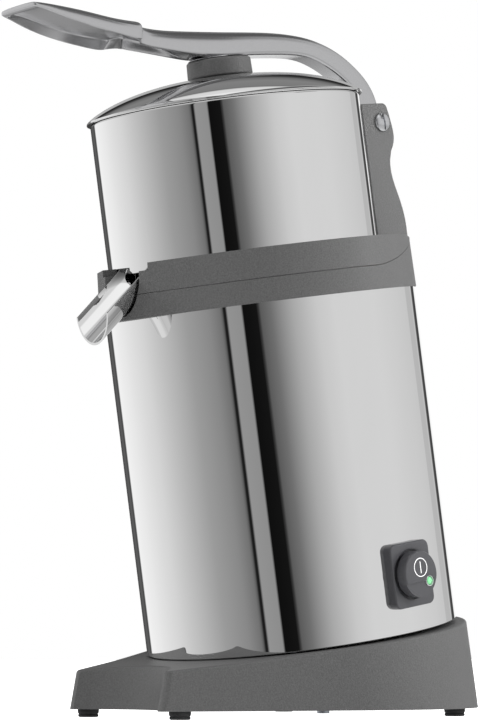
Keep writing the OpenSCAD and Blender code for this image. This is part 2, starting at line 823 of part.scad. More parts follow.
// The lever's side outline, as [ahead, up] points, from the eye over the neck to the tip
neck_top = knob_top + neck_h;
shoulder = 84;
lever_top = concat(
    curve_pts([pivot_ahead - eye_r + 0.2, pivot_s + 6], [pivot_ahead - eye_r + 1, pivot_s + 34],
        [pivot_ahead + 33, neck_top - 1], [pivot_ahead + 73, neck_top - 1.2], 16),
    [[bowl_ahead, neck_top], [shoulder - 24, neck_top + 2.6]],
    curve_pts([shoulder - 6, neck_top + 4.3], [shoulder, neck_top + 3.6],
        [shoulder + 2, neck_top + 4.4], [shoulder + 6, neck_top + 5.6], 5),
    curve_pts([shoulder + 16, neck_top + 7.9], [shoulder + 36, neck_top + 12.6],
        [tip_reach - 24, tip_s - 3.6], [tip_reach, tip_s], 6)
);
lever_under = concat(
    [[tip_reach, tip_s - 2]],
    curve_pts([tip_reach - 4, tip_s - 3.6], [tip_reach - 22, tip_s - 13.5],
        [shoulder + 30, knob_top + 17], [shoulder + 6, knob_top + 11.4], 8),
    curve_pts([shoulder - 2, knob_top + 8], [shoulder - 16, knob_top + 4.6],
        [bowl_ahead + 34, knob_top + 3], [bowl_ahead + 20, knob_top + 1.8], 5),
    [[bowl_ahead + 12, knob_top + 1.2], [bowl_ahead - 28, knob_top + 1]],
    curve_pts([bowl_ahead - 29.5, knob_top + 1], [pivot_ahead + 48, knob_top + 2],
        [pivot_ahead + 16, pivot_s + 38], [pivot_ahead + 6, pivot_s + 10.6], 14)
);

// Half of the lever's plan, as [across, ahead] points, from the pivot to the tip
lever_half = concat(
    [[neck_w / 2, pivot_ahead - eye_r - 2], [neck_w / 2, bowl_ahead - 52],
        [boss_w / 2 - 0.4, bowl_ahead - 20], [boss_w / 2, bowl_ahead],
        [boss_w / 2 - 0.8, bowl_ahead + 30], [boss_w / 2 - 1, shoulder - 16]],
    curve_pts([boss_w / 2 + 0.4, shoulder - 8], [boss_w / 2 + 2, shoulder - 2],
        [paddle_w / 2 - 3, shoulder - 2], [paddle_w / 2 - 1.6, shoulder + 8], 6),
    curve_pts([paddle_w / 2 - 0.2, shoulder + 20], [paddle_w / 2 + 0.5, shoulder + 36],
        [tip_w / 2 + 3, tip_reach - 20], [tip_w / 2 + 0.6, tip_reach - 7], 6),
    arc_pts(tip_w / 2 - 5, tip_reach - 5, 5, 0, 90, 5)
);

// The hollow flare of the foot, as [from the axis, up] points
foot_side = concat(
    [[0, 0], [foot_boss_r - 1, 0], [foot_boss_r, 1]],
    curve_pts([foot_boss_r - 1, 1.6], [foot_boss_r - 4, 2.6], [boss_w / 2 + 1, 3.6],
        [boss_w / 2 - 1, 7], 6),
    [[0, 7]]
);
lid_screw_r = 3;
lid_screw_head_r = 5;

module lever_arm() {
    color([0.70, 0.70, 0.71]) stand_up() difference() {
        union() {
            intersection() {
                side_plate(concat(lever_top, lever_under), 80);
                translate([0, 0, pivot_s - 60]) linear_extrude(height = 200)
                    mirror([0, 1, 0]) polygon(concat(lever_half, mirrored(lever_half)));
            }
            translate([0, -pivot_ahead, pivot_s]) rotate([0, 90, 0])
                cylinder(r = eye_r, h = neck_w, center = true);
            translate([0, -bowl_ahead, knob_top + 0.1]) rotate_extrude() polygon(foot_side);
        }
        translate([0, -pivot_ahead, pivot_s]) rotate([0, 90, 0])
            cylinder(r = pivot_d / 2 + 2, h = 80, center = true);
        translate([0, -bowl_ahead, knob_top - over]) {
            cylinder(r = lid_screw_r + 0.3, h = neck_h + 20);
            translate([0, 0, neck_h - 5.5 + over]) cylinder(r = lid_screw_head_r + move_gap, h = 20);
        }
    }
}

module pivot_bushes() {
    color([0.90, 0.89, 0.85]) at_pivot() for (side = [-1, 1])
        translate([0, 0, side * neck_w / 4 + side * 0.1])
            difference() {
                cylinder(r = pivot_d / 2 + 2 - seat_gap, h = neck_w / 2 - 0.2, center = true);
                cylinder(r = pivot_d / 2 + seat_gap, h = neck_w, center = true);
            }
}

module lid_knob() {
    r = knob_d / 2;
    color([0.42, 0.42, 0.43]) on_bowl_axis() rotate_extrude() polygon(concat(
        [[lid_screw_r + seat_gap, crown_s], [r - 2.5, crown_s]],
        arc_pts(r - 2, crown_s + 2, 2, -90, 0, 4),
        arc_pts(r - 2.4, knob_top - 2, 2, 0, 90, 4),
        [[lid_screw_r + seat_gap, knob_top]]
    ));
}

dome_edge_r = lid_d / 2 - lid_rim_w;
dome_foot = lid_s + 2.4;
dome_h = crown_s - dome_foot;
dome_sphere_r = (dome_edge_r * dome_edge_r + dome_h * dome_h) / (2 * dome_h);

module lid_dome() {
    color([0.80, 0.80, 0.81]) on_bowl_axis() difference() {
        union() {
            intersection() {
                translate([0, 0, crown_s - dome_sphere_r]) sphere(r = dome_sphere_r, $fn = 180);
                translate([0, 0, lid_s]) cylinder(r = dome_edge_r, h = 100);
            }
            translate([0, 0, lid_s]) cylinder(r = lid_d / 2, h = lid_sheet);
            translate([0, 0, crown_s - 2 * lid_sheet]) cylinder(r = knob_d / 2 - 1, h = 2 * lid_sheet);
        }
        intersection() {
            translate([0, 0, crown_s - dome_sphere_r]) sphere(r = dome_sphere_r - lid_sheet, $fn = 180);
            translate([0, 0, lid_s - over]) cylinder(r = dome_edge_r - lid_sheet, h = 100);
        }
        translate([0, 0, lid_s]) cylinder(r = lid_screw_r + seat_gap, h = 100);
    }
}

cup_mouth = rim_s - cup_drop;
cup_crown = cup_mouth + cup_depth + cup_wall;
cup_neck_top = crown_s - lid_sheet - 0.15;

module press_cup() {
    color([0.88, 0.87, 0.83]) on_bowl_axis() rotate_extrude() polygon(concat(
        [[cup_r, cup_mouth], [cup_r + cup_wall, cup_mouth]],
        [for (a = [10:10:70]) [(cup_r + cup_wall) * cos(a), cup_mouth + (cup_depth + cup_wall) * sin(a)]],
        [[13, cup_crown - 0.4], [13, cup_neck_top - 4], [17, cup_neck_top]],
        [[lid_screw_r - 0.3, cup_neck_top], [lid_screw_r - 0.3, cup_crown - cup_wall + 0.4]],
        [for (a = [80:-10:10]) [cup_r * cos(a), cup_mouth + cup_depth * sin(a)]]
    ));
}

screw_head_foot = knob_top + neck_h - 5.5;

module lid_screw() {
    color([0.80, 0.80, 0.81]) on_bowl_axis() difference() {
        union() {
            translate([0, 0, screw_head_foot + 0.1]) cylinder(r = lid_screw_head_r, h = 4.5);
            translate([0, 0, cup_neck_top]) cylinder(r = lid_screw_r, h = screw_head_foot + 1 - cup_neck_top);
            translate([0, 0, cup_crown]) cylinder(r = lid_screw_r - 0.35, h = cup_neck_top - cup_crown + over);
        }
        translate([0, 0, screw_head_foot + 2]) cylinder(r = 2.9, h = 10, $fn = 6);
    }
}

module motor_shaft() {
    color([0.72, 0.72, 0.74]) on_bowl_axis() difference() {
        translate([0, 0, shaft_foot]) cylinder(r = shaft_r, h = shaft_top - shaft_foot);
        translate([0, 0, pin_s]) rotate([0, 90, 0]) cylinder(r = pin_r + seat_gap, h = 60, center = true);
    }
}

module rotor_core() {
    color([0.35, 0.35, 0.37]) on_bowl_axis()
        ring(stator_bore_r - 0.5, shaft_r + 0.02, stack_foot, stack_top);
}

module cooling_fan() {
    color([0.14, 0.14, 0.15]) on_bowl_axis() difference() {
        union() {
            translate([0, 0, fan_top - fan_h]) cylinder(r = shaft_r + 6, h = fan_h);
            translate([0, 0, fan_top - fan_h]) cylinder(r = fan_r, h = 2);
            for (i = [0:blade_count - 1]) rotate([0, 0, i * 360 / blade_count])
                translate([shaft_r + 3, -1, fan_top - fan_h]) cube([fan_r - shaft_r - 3.5, 2, fan_h - 2]);
        }
        translate([0, 0, fan_top - fan_h - over]) cylinder(r = shaft_r + 0.02, h = fan_h + 2 * over);
    }
}

module drive_pin() {
    color([0.75, 0.75, 0.76]) on_bowl_axis() translate([0, 0, pin_s]) rotate([0, 90, 0])
        cylinder(r = pin_r, h = 2 * reamer_neck_r - 1, center = true);
}

// The reamer's side outline, as [from the axis, up] points, grown by extra
function reamer_side(extra) = concat(
    [[0, reamer_foot], [reamer_r - 3 + extra, reamer_foot]],
    curve_pts([reamer_r - 3 + extra, reamer_foot + 4],
        [reamer_r - 3 + extra, reamer_foot + reamer_h * 0.45],
        [13 + extra, reamer_foot + reamer_h * 0.82], [3 + extra, reamer_foot + reamer_h - 3 + extra], 9),
    [[0, reamer_foot + reamer_h - 2.6 + extra]]
);

module reamer() {
    color([0.88, 0.87, 0.83]) on_bowl_axis() difference() {
        union() {
            rotate_extrude() polygon(reamer_side(0));
            for (i = [0:rib_count - 1]) rotate([90, 0, i * 360 / rib_count])
                linear_extrude(height = rib_t, center = true) polygon(reamer_side(rib_rise));
            translate([0, 0, reamer_foot]) cylinder(r = reamer_r, h = 3);
            translate([0, 0, hub_top - 8]) cylinder(r = reamer_neck_r, h = reamer_foot - hub_top + 9);
        }
        translate([0, 0, hub_top - 20]) cylinder(r = shaft_r + seat_gap, h = shaft_top - hub_top + 21);
        translate([-30, -pin_r - 0.1, hub_top - 20]) cube([60, 2 * pin_r + 0.2, 20 - 3 + pin_r + 0.1]);
    }
}

module slinger() {
    color([0.10, 0.10, 0.10]) on_bowl_axis() difference() {
        translate([0, 0, deck_top + 5]) cylinder(r1 = hub_r - 3, r2 = shaft_r + 3, h = 5);
        cylinder(r = shaft_r + 0.02, h = rim_s);
    }
}

button_face = switch_face + button_rise;
lens_at = [7.1, -5.2];
lens_r = 3;

module power_button() {
    color([0.24, 0.24, 0.25]) at_switch() difference() {
        union() {
            translate([recess_floor + button_travel + 0.3, 0, 0]) rotate([0, 90, 0])
                cylinder(r = button_d / 2, h = button_face - recess_floor - button_travel - 0.3);
            translate([stem_end, 0, 0]) rotate([0, 90, 0])
                cylinder(r = stem_r, h = button_face - stem_end - 2);
        }
        // The lower third of the face lies a little back
        translate([button_face - 0.7, -20, -20 - button_d / 6]) cube([5, 40, 20]);
        translate([button_face - 2.2, lens_at[0], lens_at[1]]) rotate([0, 90, 0])
            cylinder(r = lens_r + 0.7, h = 10);
    }
}

module indicator_lens() {
    color([0.45, 0.85, 0.55]) at_switch()
        translate([button_face - 2.2, lens_at[0], lens_at[1]]) rotate([0, 90, 0])
            cylinder(r = lens_r, h = 1.9);
}

base_casting();
base_plate();
base_plate_screws();
rubber_feet();
foot_screws();
cable_gland();
gland_nut();
base_gasket();
tie_rods();
tie_rod_nuts();
body_tube();
head_casting();
motor_top_shield();
motor_stator();
motor_windings();
motor_bottom_shield();
motor_bolts();
upper_bearing();
lower_bearing();
shaft_seal();
capacitor();
capacitor_clip();
terminal_block();
bowl();
spout();
strainer();
switch_plate();
switch_body();
pivot_screw();
pivot_nut();
lever_arm();
pivot_bushes();
lid_knob();
lid_dome();
press_cup();
lid_screw();
motor_shaft();
rotor_core();
cooling_fan();
drive_pin();
reamer();
slinger();
power_button();
indicator_lens();
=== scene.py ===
"""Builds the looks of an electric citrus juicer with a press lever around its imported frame.

The leaning pieces are modelled upright, in the body's own axes: x across, y towards the
rear, z along the tube from its lower end. ``Placing`` then leans them into the frame.
Sizes in the classes are millimetres; Blender works in metres.
"""

import sys

import logging
import math
from dataclasses import dataclass, field
from enum import Enum
from typing import Callable, Iterable, Sequence

import bmesh
import bpy
from mathutils import Matrix, Vector

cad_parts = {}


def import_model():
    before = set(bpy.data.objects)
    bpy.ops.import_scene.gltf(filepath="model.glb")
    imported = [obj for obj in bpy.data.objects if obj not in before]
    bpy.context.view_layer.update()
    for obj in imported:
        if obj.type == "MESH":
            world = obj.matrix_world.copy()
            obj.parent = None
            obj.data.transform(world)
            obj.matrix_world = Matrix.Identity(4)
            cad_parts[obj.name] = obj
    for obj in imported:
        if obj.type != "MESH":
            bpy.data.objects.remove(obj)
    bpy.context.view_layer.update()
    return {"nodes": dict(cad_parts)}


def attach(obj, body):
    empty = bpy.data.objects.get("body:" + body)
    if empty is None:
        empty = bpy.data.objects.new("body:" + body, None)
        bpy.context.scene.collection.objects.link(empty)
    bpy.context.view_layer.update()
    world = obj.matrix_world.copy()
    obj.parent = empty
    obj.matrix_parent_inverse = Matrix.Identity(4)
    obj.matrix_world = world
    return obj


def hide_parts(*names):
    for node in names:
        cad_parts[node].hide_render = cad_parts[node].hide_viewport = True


LOG = logging.getLogger("juicer")
MM = 0.001
# Vertices closer than this, in millimetres, are one
DOUBLES = 0.002
Point = tuple[float, ...]
Piece = bpy.types.Object
Tree = bpy.types.NodeTree
Socket = bpy.types.NodeSocket


class Body(str, Enum):
    """The moving bodies that a piece can ride on."""

    STAND = "stand"
    LEVER = "lever"
    LID = "lid"
    BUTTON = "button"


class Weld(str, Enum):
    """What a solid tool does to a piece."""

    CUT = "DIFFERENCE"
    JOIN = "UNION"
    KEEP = "INTERSECT"


# ---------------------------------------------------------------- placing


def moved(x: float, y: float, z: float) -> Matrix:
    """Returns a shift by so many millimetres."""
    return Matrix.Translation((x * MM, y * MM, z * MM))


@dataclass(frozen=True)
class Placing:
    """Where the leaning body stands in the frame."""

    lean: float = math.radians(9.3)
    seat_h: float = 51.5
    stand_y: float = 55.7439
    bowl_ahead: float = 9.3
    switch_turn: float = math.radians(3.5)
    switch_up: float = 36.0

    def table(self) -> Matrix:
        """Returns the upright axes on the table, under the tube's lower end."""
        return moved(0, self.stand_y, 0)

    def body(self) -> Matrix:
        """Returns the axes of the leaning tube."""
        return moved(0, self.stand_y, self.seat_h) @ Matrix.Rotation(self.lean, 4, "X")

    def bowl(self) -> Matrix:
        """Returns the leaning axes through the middle of the bowl."""
        return self.body() @ moved(0, -self.bowl_ahead, 0)

    def switch(self) -> Matrix:
        """Returns axes with z straight out through the power button and y along the tube."""
        out = Vector((math.cos(self.switch_turn), math.sin(self.switch_turn), 0))
        along = Vector((0, 0, 1))
        turn = Matrix((along.cross(out), along, out)).transposed().to_4x4()
        return self.body() @ moved(0, 0, self.switch_up) @ turn


PLACE = Placing()


# ---------------------------------------------------------------- modelling


class Bench:
    """The moves of hand modelling, each on one piece at a time."""

    @staticmethod
    def clear() -> None:
        """Leaves edit mode and deselects everything."""
        if bpy.context.object and bpy.context.object.mode != "OBJECT":
            bpy.ops.object.mode_set(mode="OBJECT")
        bpy.ops.object.select_all(action="DESELECT")

    @staticmethod
    def take(piece: Piece) -> None:
        """Selects one piece alone and makes it active."""
        Bench.clear()
        piece.select_set(True)
        bpy.context.view_layer.objects.active = piece

    @staticmethod
    def edit(piece: Piece) -> None:
        """Opens one piece for editing."""
        Bench.take(piece)
        bpy.ops.object.mode_set(mode="EDIT")

    @staticmethod
    def start(name: str) -> Piece:
        """Starts an empty mesh in edit mode.

        Args:
            name: The piece's name.

        Returns:
            The new object, at the origin, open for editing.
        """
        Bench.clear()
        bpy.ops.mesh.primitive_plane_add(size=MM)
        piece = bpy.context.object
        piece.name = name
        piece.data.name = name
        bpy.ops.object.mode_set(mode="EDIT")
        bpy.ops.mesh.select_all(action="SELECT")
        bpy.ops.mesh.delete(type="VERT")
        return piece

    @staticmethod
    def trace(points: Sequence[Point], closed: bool = True) -> None:
        """Draws a chain of edges by extruding one vertex from point to point.

        Args:
            points: The chain's points, in millimetres.
            closed: Whether the last point is joined to the first.
        """
        spots = [Vector(p) * MM for p in points]
        bpy.ops.mesh.select_mode(type="VERT")
        bpy.ops.mesh.select_all(action="DESELECT")
        bpy.ops.mesh.primitive_plane_add(size=MM, location=spots[0])
        bpy.ops.mesh.merge(type="CENTER")
        for here, there in zip(spots, spots[1:]):
            bpy.ops.mesh.extrude_vertices_move(TRANSFORM_OT_translate={"value": there - here})
        if closed:
            Bench.pick_verts((-len(spots), -1))
            bpy.ops.mesh.edge_face_add()

    @staticmethod
    def pick_verts(places: Iterable[int]) -> None:
        """Selects vertices by their order of drawing, counted from the last one where negative."""
        mesh = bmesh.from_edit_mesh(bpy.context.object.data)
        bpy.ops.mesh.select_all(action="DESELECT")
        mesh.verts.ensure_lookup_table()
        for place in places:
            mesh.verts[place].select_set(True)
        mesh.select_flush(True)
        bmesh.update_edit_mesh(bpy.context.object.data)

    @staticmethod
    def pick_edges(test: Callable[[Vector], bool]) -> None:
        """Selects the edges whose two ends, in millimetres, pass a test."""
        bpy.ops.mesh.select_mode(type="EDGE")
        bpy.ops.mesh.select_all(action="DESELECT")
        mesh = bmesh.from_edit_mesh(bpy.context.object.data)
        for edge in mesh.edges:
            if all(test(end.co / MM) for end in edge.verts):
                edge.select_set(True)
        bmesh.update_edit_mesh(bpy.context.object.data)

    @staticmethod
    def close(piece: Piece) -> Piece:
        """Merges doubles, turns all faces outwards, leaves edit mode and returns the piece."""
        bpy.ops.mesh.select_mode(type="VERT")
        bpy.ops.mesh.select_all(action="SELECT")
        bpy.ops.mesh.remove_doubles(threshold=DOUBLES * MM)
        bpy.ops.mesh.normals_make_consistent(inside=False)
        bpy.ops.object.mode_set(mode="OBJECT")
        return piece

    @staticmethod
    def settle(name: str) -> Piece:
        """Names the newest object, applies its place to its mesh and returns it."""
        piece = bpy.context.object
        piece.name = name
        bpy.ops.object.transform_apply(location=True, rotation=True, scale=True)
        return piece

    @staticmethod
    def modify(piece: Piece, kind: str, **settings: object) -> None:
        """Adds a modifier with its settings and applies it.

        Args:
            piece: The piece.
            kind: The modifier's type.
            settings: Its properties by name.
        """
        Bench.take(piece)
        step = piece.modifiers.new(kind.lower(), kind)
        for key, value in settings.items():
            setattr(step, key, value)
        bpy.ops.object.modifier_apply(modifier=step.name)

    @staticmethod
    def turned(name: str, profile: Sequence[Point], closed: bool, steps: int = 128) -> Piece:
        """Turns a profile round the z axis, as on a lathe.

        Args:
            name: The piece's name.
            profile: Points of (radius, height), in millimetres.
            closed: Whether the profile is a closed loop.
            steps: Segments round the axis.

        Returns:
            The piece, in object mode.
        """
        piece = Bench.start(name)
        Bench.trace([(r, 0, z) for r, z in profile], closed)
        bpy.ops.mesh.select_all(action="SELECT")
        bpy.ops.mesh.spin(steps=steps, angle=math.tau, center=(0, 0, 0), axis=(0, 0, 1))
        return Bench.close(piece)

    @staticmethod
    def loft(name: str, rings: Sequence[Sequence[Point]]) -> Piece:
        """Bridges closed rings of equal length, in order, and fills the first and the last.

        Args:
            name: The piece's name.
            rings: The rings, each a list of points in millimetres.

        Returns:
            The piece, in object mode.
        """
        piece = Bench.start(name)
        count = len(rings[0])
        for ring in rings:
            Bench.trace(ring)
        for low in range(len(rings) - 1):
            Bench.pick_verts(range(low * count, (low + 2) * count))
            bpy.ops.mesh.bridge_edge_loops()
        for ring in (0, len(rings) - 1):
            Bench.pick_verts(range(ring * count, (ring + 1) * count))
            bpy.ops.mesh.edge_face_add()
        return Bench.close(piece)

    @staticmethod
    def plate(name: str, outline: Sequence[Point], thrust: Point) -> Piece:
        """Fills an outline and extrudes it.

        Args:
            name: The piece's name.
            outline: Points in millimetres.
            thrust: How far and which way the face is extruded, in millimetres.

        Returns:
            The piece, in object mode.
        """
        piece = Bench.start(name)
        Bench.trace(outline)
        bpy.ops.mesh.select_all(action="SELECT")
        bpy.ops.mesh.edge_face_add()
        bpy.ops.mesh.extrude_region_move(TRANSFORM_OT_translate={"value": Vector(thrust) * MM})
        return Bench.close(piece)

    @staticmethod
    def rod(name: str, radius: float, start: Point, end: Point, sides: int = 96) -> Piece:
        """Adds a cylinder between two points, in millimetres."""
        Bench.clear()
        low, high = Vector(start) * MM, Vector(end) * MM
        way = high - low
        bpy.ops.mesh.primitive_cylinder_add(
            vertices=sides, radius=radius * MM, depth=way.length, location=(low + high) / 2,
            rotation=way.to_track_quat("Z", "Y").to_euler())
        return Bench.settle(name)

    @staticmethod
    def block(name: str, low: Point, high: Point) -> Piece:
        """Adds a box between two corners, in millimetres."""
        Bench.clear()
        a, b = Vector(low) * MM, Vector(high) * MM
        bpy.ops.mesh.primitive_cube_add(size=1, location=(a + b) / 2, scale=b - a)
        return Bench.settle(name)

    @staticmethod
    def weld(piece: Piece, tool: Piece, how: Weld) -> None:
        """Cuts or joins a piece with a solid tool, and removes the tool."""
        Bench.modify(piece, "BOOLEAN", operation=how.value, solver="EXACT", object=tool)
        bpy.data.objects.remove(tool)

    @staticmethod
    def cut(piece: Piece, *tools: Piece) -> None:
        """Cuts a piece with solid tools, one after another."""
        for tool in tools:
            Bench.weld(piece, tool, Weld.CUT)

    @staticmethod
    def round_edges(piece: Piece, width: float, segments: int, over: float) -> None:
        """Rounds every edge sharper than an angle.

        Args:
            piece: The piece.
            width: Width of the rounding, in millimetres.
            segments: Facets across it.
            over: Angle between faces, in degrees, over which an edge is rounded.
        """
        Bench.modify(piece, "BEVEL", width=width * MM, segments=segments, limit_method="ANGLE",
                     angle_limit=math.radians(over), use_clamp_overlap=True, harden_normals=False)

    @staticmethod
    def place(piece: Piece, where: Matrix) -> None:
        """Moves a piece to its place and leaves its object at the origin."""
        Bench.take(piece)
        piece.matrix_world = where
        bpy.ops.object.transform_apply(location=True, rotation=True, scale=True)

    @staticmethod
    def merge(name: str, pieces: Sequence[Piece]) -> Piece:
        """Joins pieces into the first one and returns it."""
        Bench.take(pieces[0])
        for other in pieces[1:]:
            other.select_set(True)
        bpy.ops.object.join()
        pieces[0].name = name
        return pieces[0]

    @staticmethod
    def shade(piece: Piece, angle: float) -> None:
        """Shades a piece smooth, with the edges sharper than an angle in degrees kept sharp."""
        Bench.take(piece)
        bpy.ops.object.shade_smooth_by_angle(angle=math.radians(angle))
        Bench.modify(piece, "WEIGHTED_NORMAL", keep_sharp=True)


def arc(cx: float, cy: float, r: float, a0: float, a1: float, steps: int) -> list[Point]:
    """Gives points of an arc.

    Args:
        cx: The centre's first coordinate.
        cy: The centre's second coordinate.
        r: The radius.
        a0: The first angle, in degrees.
        a1: The last angle, in degrees.
        steps: How many steps lie between them.

    Returns:
        The points, both ends among them.
    """
    angles = [math.radians(a0 + (a1 - a0) * i / steps) for i in range(steps + 1)]
    return [(cx + r * math.cos(a), cy + r * math.sin(a)) for a in angles]


def curve(p0: Point, p1: Point, p2: Point, p3: Point, steps: int) -> list[Point]:
    """Gives points of a cubic curve from p0 to p3 with the handles p1 and p2."""
    points = []
    for i in range(steps + 1):
        t = i / steps
        u = 1 - t
        weights = (u * u * u, 3 * u * u * t, 3 * u * t * t, t * t * t)
        points.append(tuple(sum(w * p[k] for w, p in zip(weights, (p0, p1, p2, p3))) for k in (0, 1)))
    return points


# ---------------------------------------------------------------- finishes


def linear(hex_colour: str) -> tuple[float, float, float, float]:
    """Turns an sRGB hex value into Blender's linear colour."""
    parts = [int(hex_colour[i:i + 2], 16) / 255 for i in (1, 3, 5)]
    return tuple(c / 12.92 if c <= 0.04045 else ((c + 0.055) / 1.055) ** 2.4 for c in parts) + (1.0,)


def add_node(tree: Tree, kind: str, settings: dict | None = None,
             inputs: dict | None = None) -> bpy.types.Node:
    """Adds a node with its settings and inputs.

    Args:
        tree: The node tree.
        kind: The node's type name.
        settings: Property values.
        inputs: Socket name or index to a value, or to the output socket that feeds it.

    Returns:
        The node.
    """
    node = tree.nodes.new(kind)
    for key, value in (settings or {}).items():
        setattr(node, key, value)
    for key, value in (inputs or {}).items():
        if isinstance(value, Socket):
            tree.links.new(value, node.inputs[key])
        else:
            node.inputs[key].default_value = value
    return node


def mix(tree: Tree, share: Socket, first: Socket | Point, second: Socket | Point) -> Socket:
    """Adds a mix of two colours and returns its output."""
    node = add_node(tree, "ShaderNodeMix", {"data_type": "RGBA"}, {"Factor": share, "A": first, "B": second})
    return node.outputs["Result"]


def span(tree: Tree, value: Socket, low: float = 0.0, high: float = 1.0, to_low: float = 0.0,
         to_high: float = 1.0, smooth: bool = False) -> Socket:
    """Adds a node that maps one range of values onto another.

    Args:
        tree: The node tree.
        value: The output socket with the value.
        low: Start of the range that it is in.
        high: End of that range.
        to_low: What the start becomes.
        to_high: What the end becomes.
        smooth: Whether the rise eases in and out.

    Returns:
        The node's output socket.
    """
    kind = "SMOOTHSTEP" if smooth else "LINEAR"
    node = add_node(tree, "ShaderNodeMapRange", {"interpolation_type": kind}, {
        "Value": value, "From Min": low, "From Max": high, "To Min": to_low, "To Max": to_high})
    return node.outputs["Result"]


@dataclass(frozen=True)
class Finish:
    """A surface: its shader's values, the patterns in its colour and gloss, and its relief.

    Pattern sizes are in millimetres and give the width of one speck or ripple.
    """

    name: str
    colour: str
    metallic: float = 0.0
    roughness: float = 0.5
    second_colour: str = ""
    speck: float = 1.0
    stretch: Point = (1.0, 1.0, 1.0)
    gloss_change: float = 0.04
    relief: float = 0.0
    relief_size: float = 1.0
    coat: float = 0.0
    coat_roughness: float = 0.1
    ior: float = 1.5

    def make(self) -> bpy.types.Material:
        """Builds the material, or returns it when it exists."""
        if self.name in bpy.data.materials:
            return bpy.data.materials[self.name]
        material = bpy.data.materials.new(self.name)
        material.use_nodes = True
        tree = material.node_tree
        tree.nodes.clear()
        spot = add_node(tree, "ShaderNodeTexCoord")
        lay = add_node(tree, "ShaderNodeMapping", inputs={
            "Vector": spot.outputs["Object"], "Scale": self.stretch})
        specks = add_node(tree, "ShaderNodeTexNoise", inputs={
            "Vector": lay.outputs["Vector"], "Scale": 1 / (self.speck * MM), "Detail": 3.0, "Roughness": 0.6})
        share = specks.outputs["Fac"]
        gloss = span(tree, share, to_low=max(0.0, self.roughness - self.gloss_change),
                     to_high=min(1.0, self.roughness + self.gloss_change))
        shader = add_node(tree, "ShaderNodeBsdfPrincipled", inputs={
            "Base Color": mix(tree, share, linear(self.colour), linear(self.second_colour or self.colour)),
            "Roughness": gloss, "Metallic": self.metallic, "Coat Weight": self.coat,
            "Coat Roughness": self.coat_roughness})
        if self.metallic < 0.5:
            shader.inputs["IOR"].default_value = self.ior
        if self.relief:
            grain = add_node(tree, "ShaderNodeTexNoise", inputs={
                "Vector": lay.outputs["Vector"], "Scale": 1 / (self.relief_size * MM), "Detail": 2.0})
            bump = add_node(tree, "ShaderNodeBump", inputs={
                "Height": grain.outputs["Fac"], "Distance": self.relief * MM, "Strength": 1.0})
            tree.links.new(bump.outputs["Normal"], shader.inputs["Normal"])
        out = add_node(tree, "ShaderNodeOutputMaterial")
        tree.links.new(shader.outputs["BSDF"], out.inputs["Surface"])
        return material


# Textured polyester powder coat on cast aluminium: a fine orange-peel grain breaks the sheen.
POWDER_COAT = Finish("textured_powder_coat", "#373737", roughness=0.5, second_colour="#656565",
                     speck=0.9, relief=0.09, relief_size=0.8, gloss_change=0.06)
# Stainless sheet, buffed to a mirror: clean reflections with a trace of haze.
MIRROR_STEEL = Finish("mirror_polished_stainless", "#f2f2f2", metallic=1.0, roughness=0.012,
                      second_colour="#ededed", speck=30, stretch=(1, 1, 0.2), gloss_change=0.006)
# Cast aluminium, ground and satin-polished by hand: soft broad reflections and a fine grain.
SATIN_ALUMINIUM = Finish("satin_polished_cast_aluminium", "#d2d2d3", metallic=1.0, roughness=0.2,
                         second_colour="#c6c6c8", speck=0.8, gloss_change=0.05, relief=0.008, relief_size=0.7)
# Stainless bar and sheet, machined or belt-ground: a grey sheen with fine streaks.
SATIN_STEEL = Finish("ground_stainless", "#cfd0d2", metallic=1.0, roughness=0.22,
                     second_colour="#c2c3c6", speck=0.6, stretch=(1, 1, 6), gloss_change=0.05)
# Stainless of the pivot screw's domed head, polished: bright, with soft reflections.
BRIGHT_SCREW = Finish("polished_screw_steel", "#dcdddf", metallic=1.0, roughness=0.2,
                      second_colour="#d2d3d6", speck=2, gloss_change=0.03)
# Zinc plate on steel hardware: slightly blue and cloudy.
ZINC_PLATE = Finish("zinc_plated_steel", "#b9bdc2", metallic=1.0, roughness=0.38,
                    second_colour="#a9adb3", speck=3)
# Hardened steel, ground bright: an even, sharp sheen.
BEARING_STEEL = Finish("ground_bearing_steel", "#c9cacc", metallic=1.0, roughness=0.18,
                       second_colour="#bfc0c3", speck=0.8)
# Die-cast aluminium as it leaves the mould: pale, cloudy and slightly rough.
RAW_ALUMINIUM = Finish("raw_die_cast_aluminium", "#b4b5b7", metallic=1.0, roughness=0.48,
                       second_colour="#a3a4a7", speck=2.5, relief=0.04, relief_size=1.2)
# Stacked electrical steel under varnish: fine dark layers.
LAMINATION = Finish("varnished_laminations", "#3a3b3e", metallic=0.6, roughness=0.42, second_colour="#54565a",
                    speck=1.2, stretch=(0.1, 0.1, 1))
# Enamelled copper wire, varnished and laced: warm brown with a ripple of turns.
COPPER_WINDING = Finish("varnished_copper_winding", "#8a4a22", metallic=0.7, roughness=0.35,
                        second_colour="#b5692f", speck=1.5, relief=0.15, relief_size=1.4)
# Moulded black rubber, dull and slightly dusty.
BLACK_RUBBER = Finish("moulded_black_rubber", "#1b1b1c", roughness=0.72, second_colour="#262627",
                      speck=2.0, relief=0.02, relief_size=0.8)
# Moulded nylon, even and half dull.
BLACK_NYLON = Finish("moulded_black_nylon", "#202022", roughness=0.5, second_colour="#2a2a2c", speck=1.5)
# ABS of the power switch, charcoal with a semi-gloss skin.
SWITCH_ABS = Finish("charcoal_abs", "#3c3c3f", roughness=0.3, second_colour="#434346", speck=1.6,
                    relief=0.005, relief_size=0.5, coat=0.35, coat_roughness=0.16)
# Pad-printed white ink: flat and even.
WHITE_PRINT = Finish("white_pad_print", "#f2f2f2", roughness=0.45, second_colour="#e9e9e9", speck=1.0)
# Translucent green polycarbonate of the lamp in the button.
GREEN_LENS = Finish("green_polycarbonate", "#8fe0a2", roughness=0.12, second_colour="#6fd088", speck=1.5,
                    coat=1.0, coat_roughness=0.03, ior=1.58)
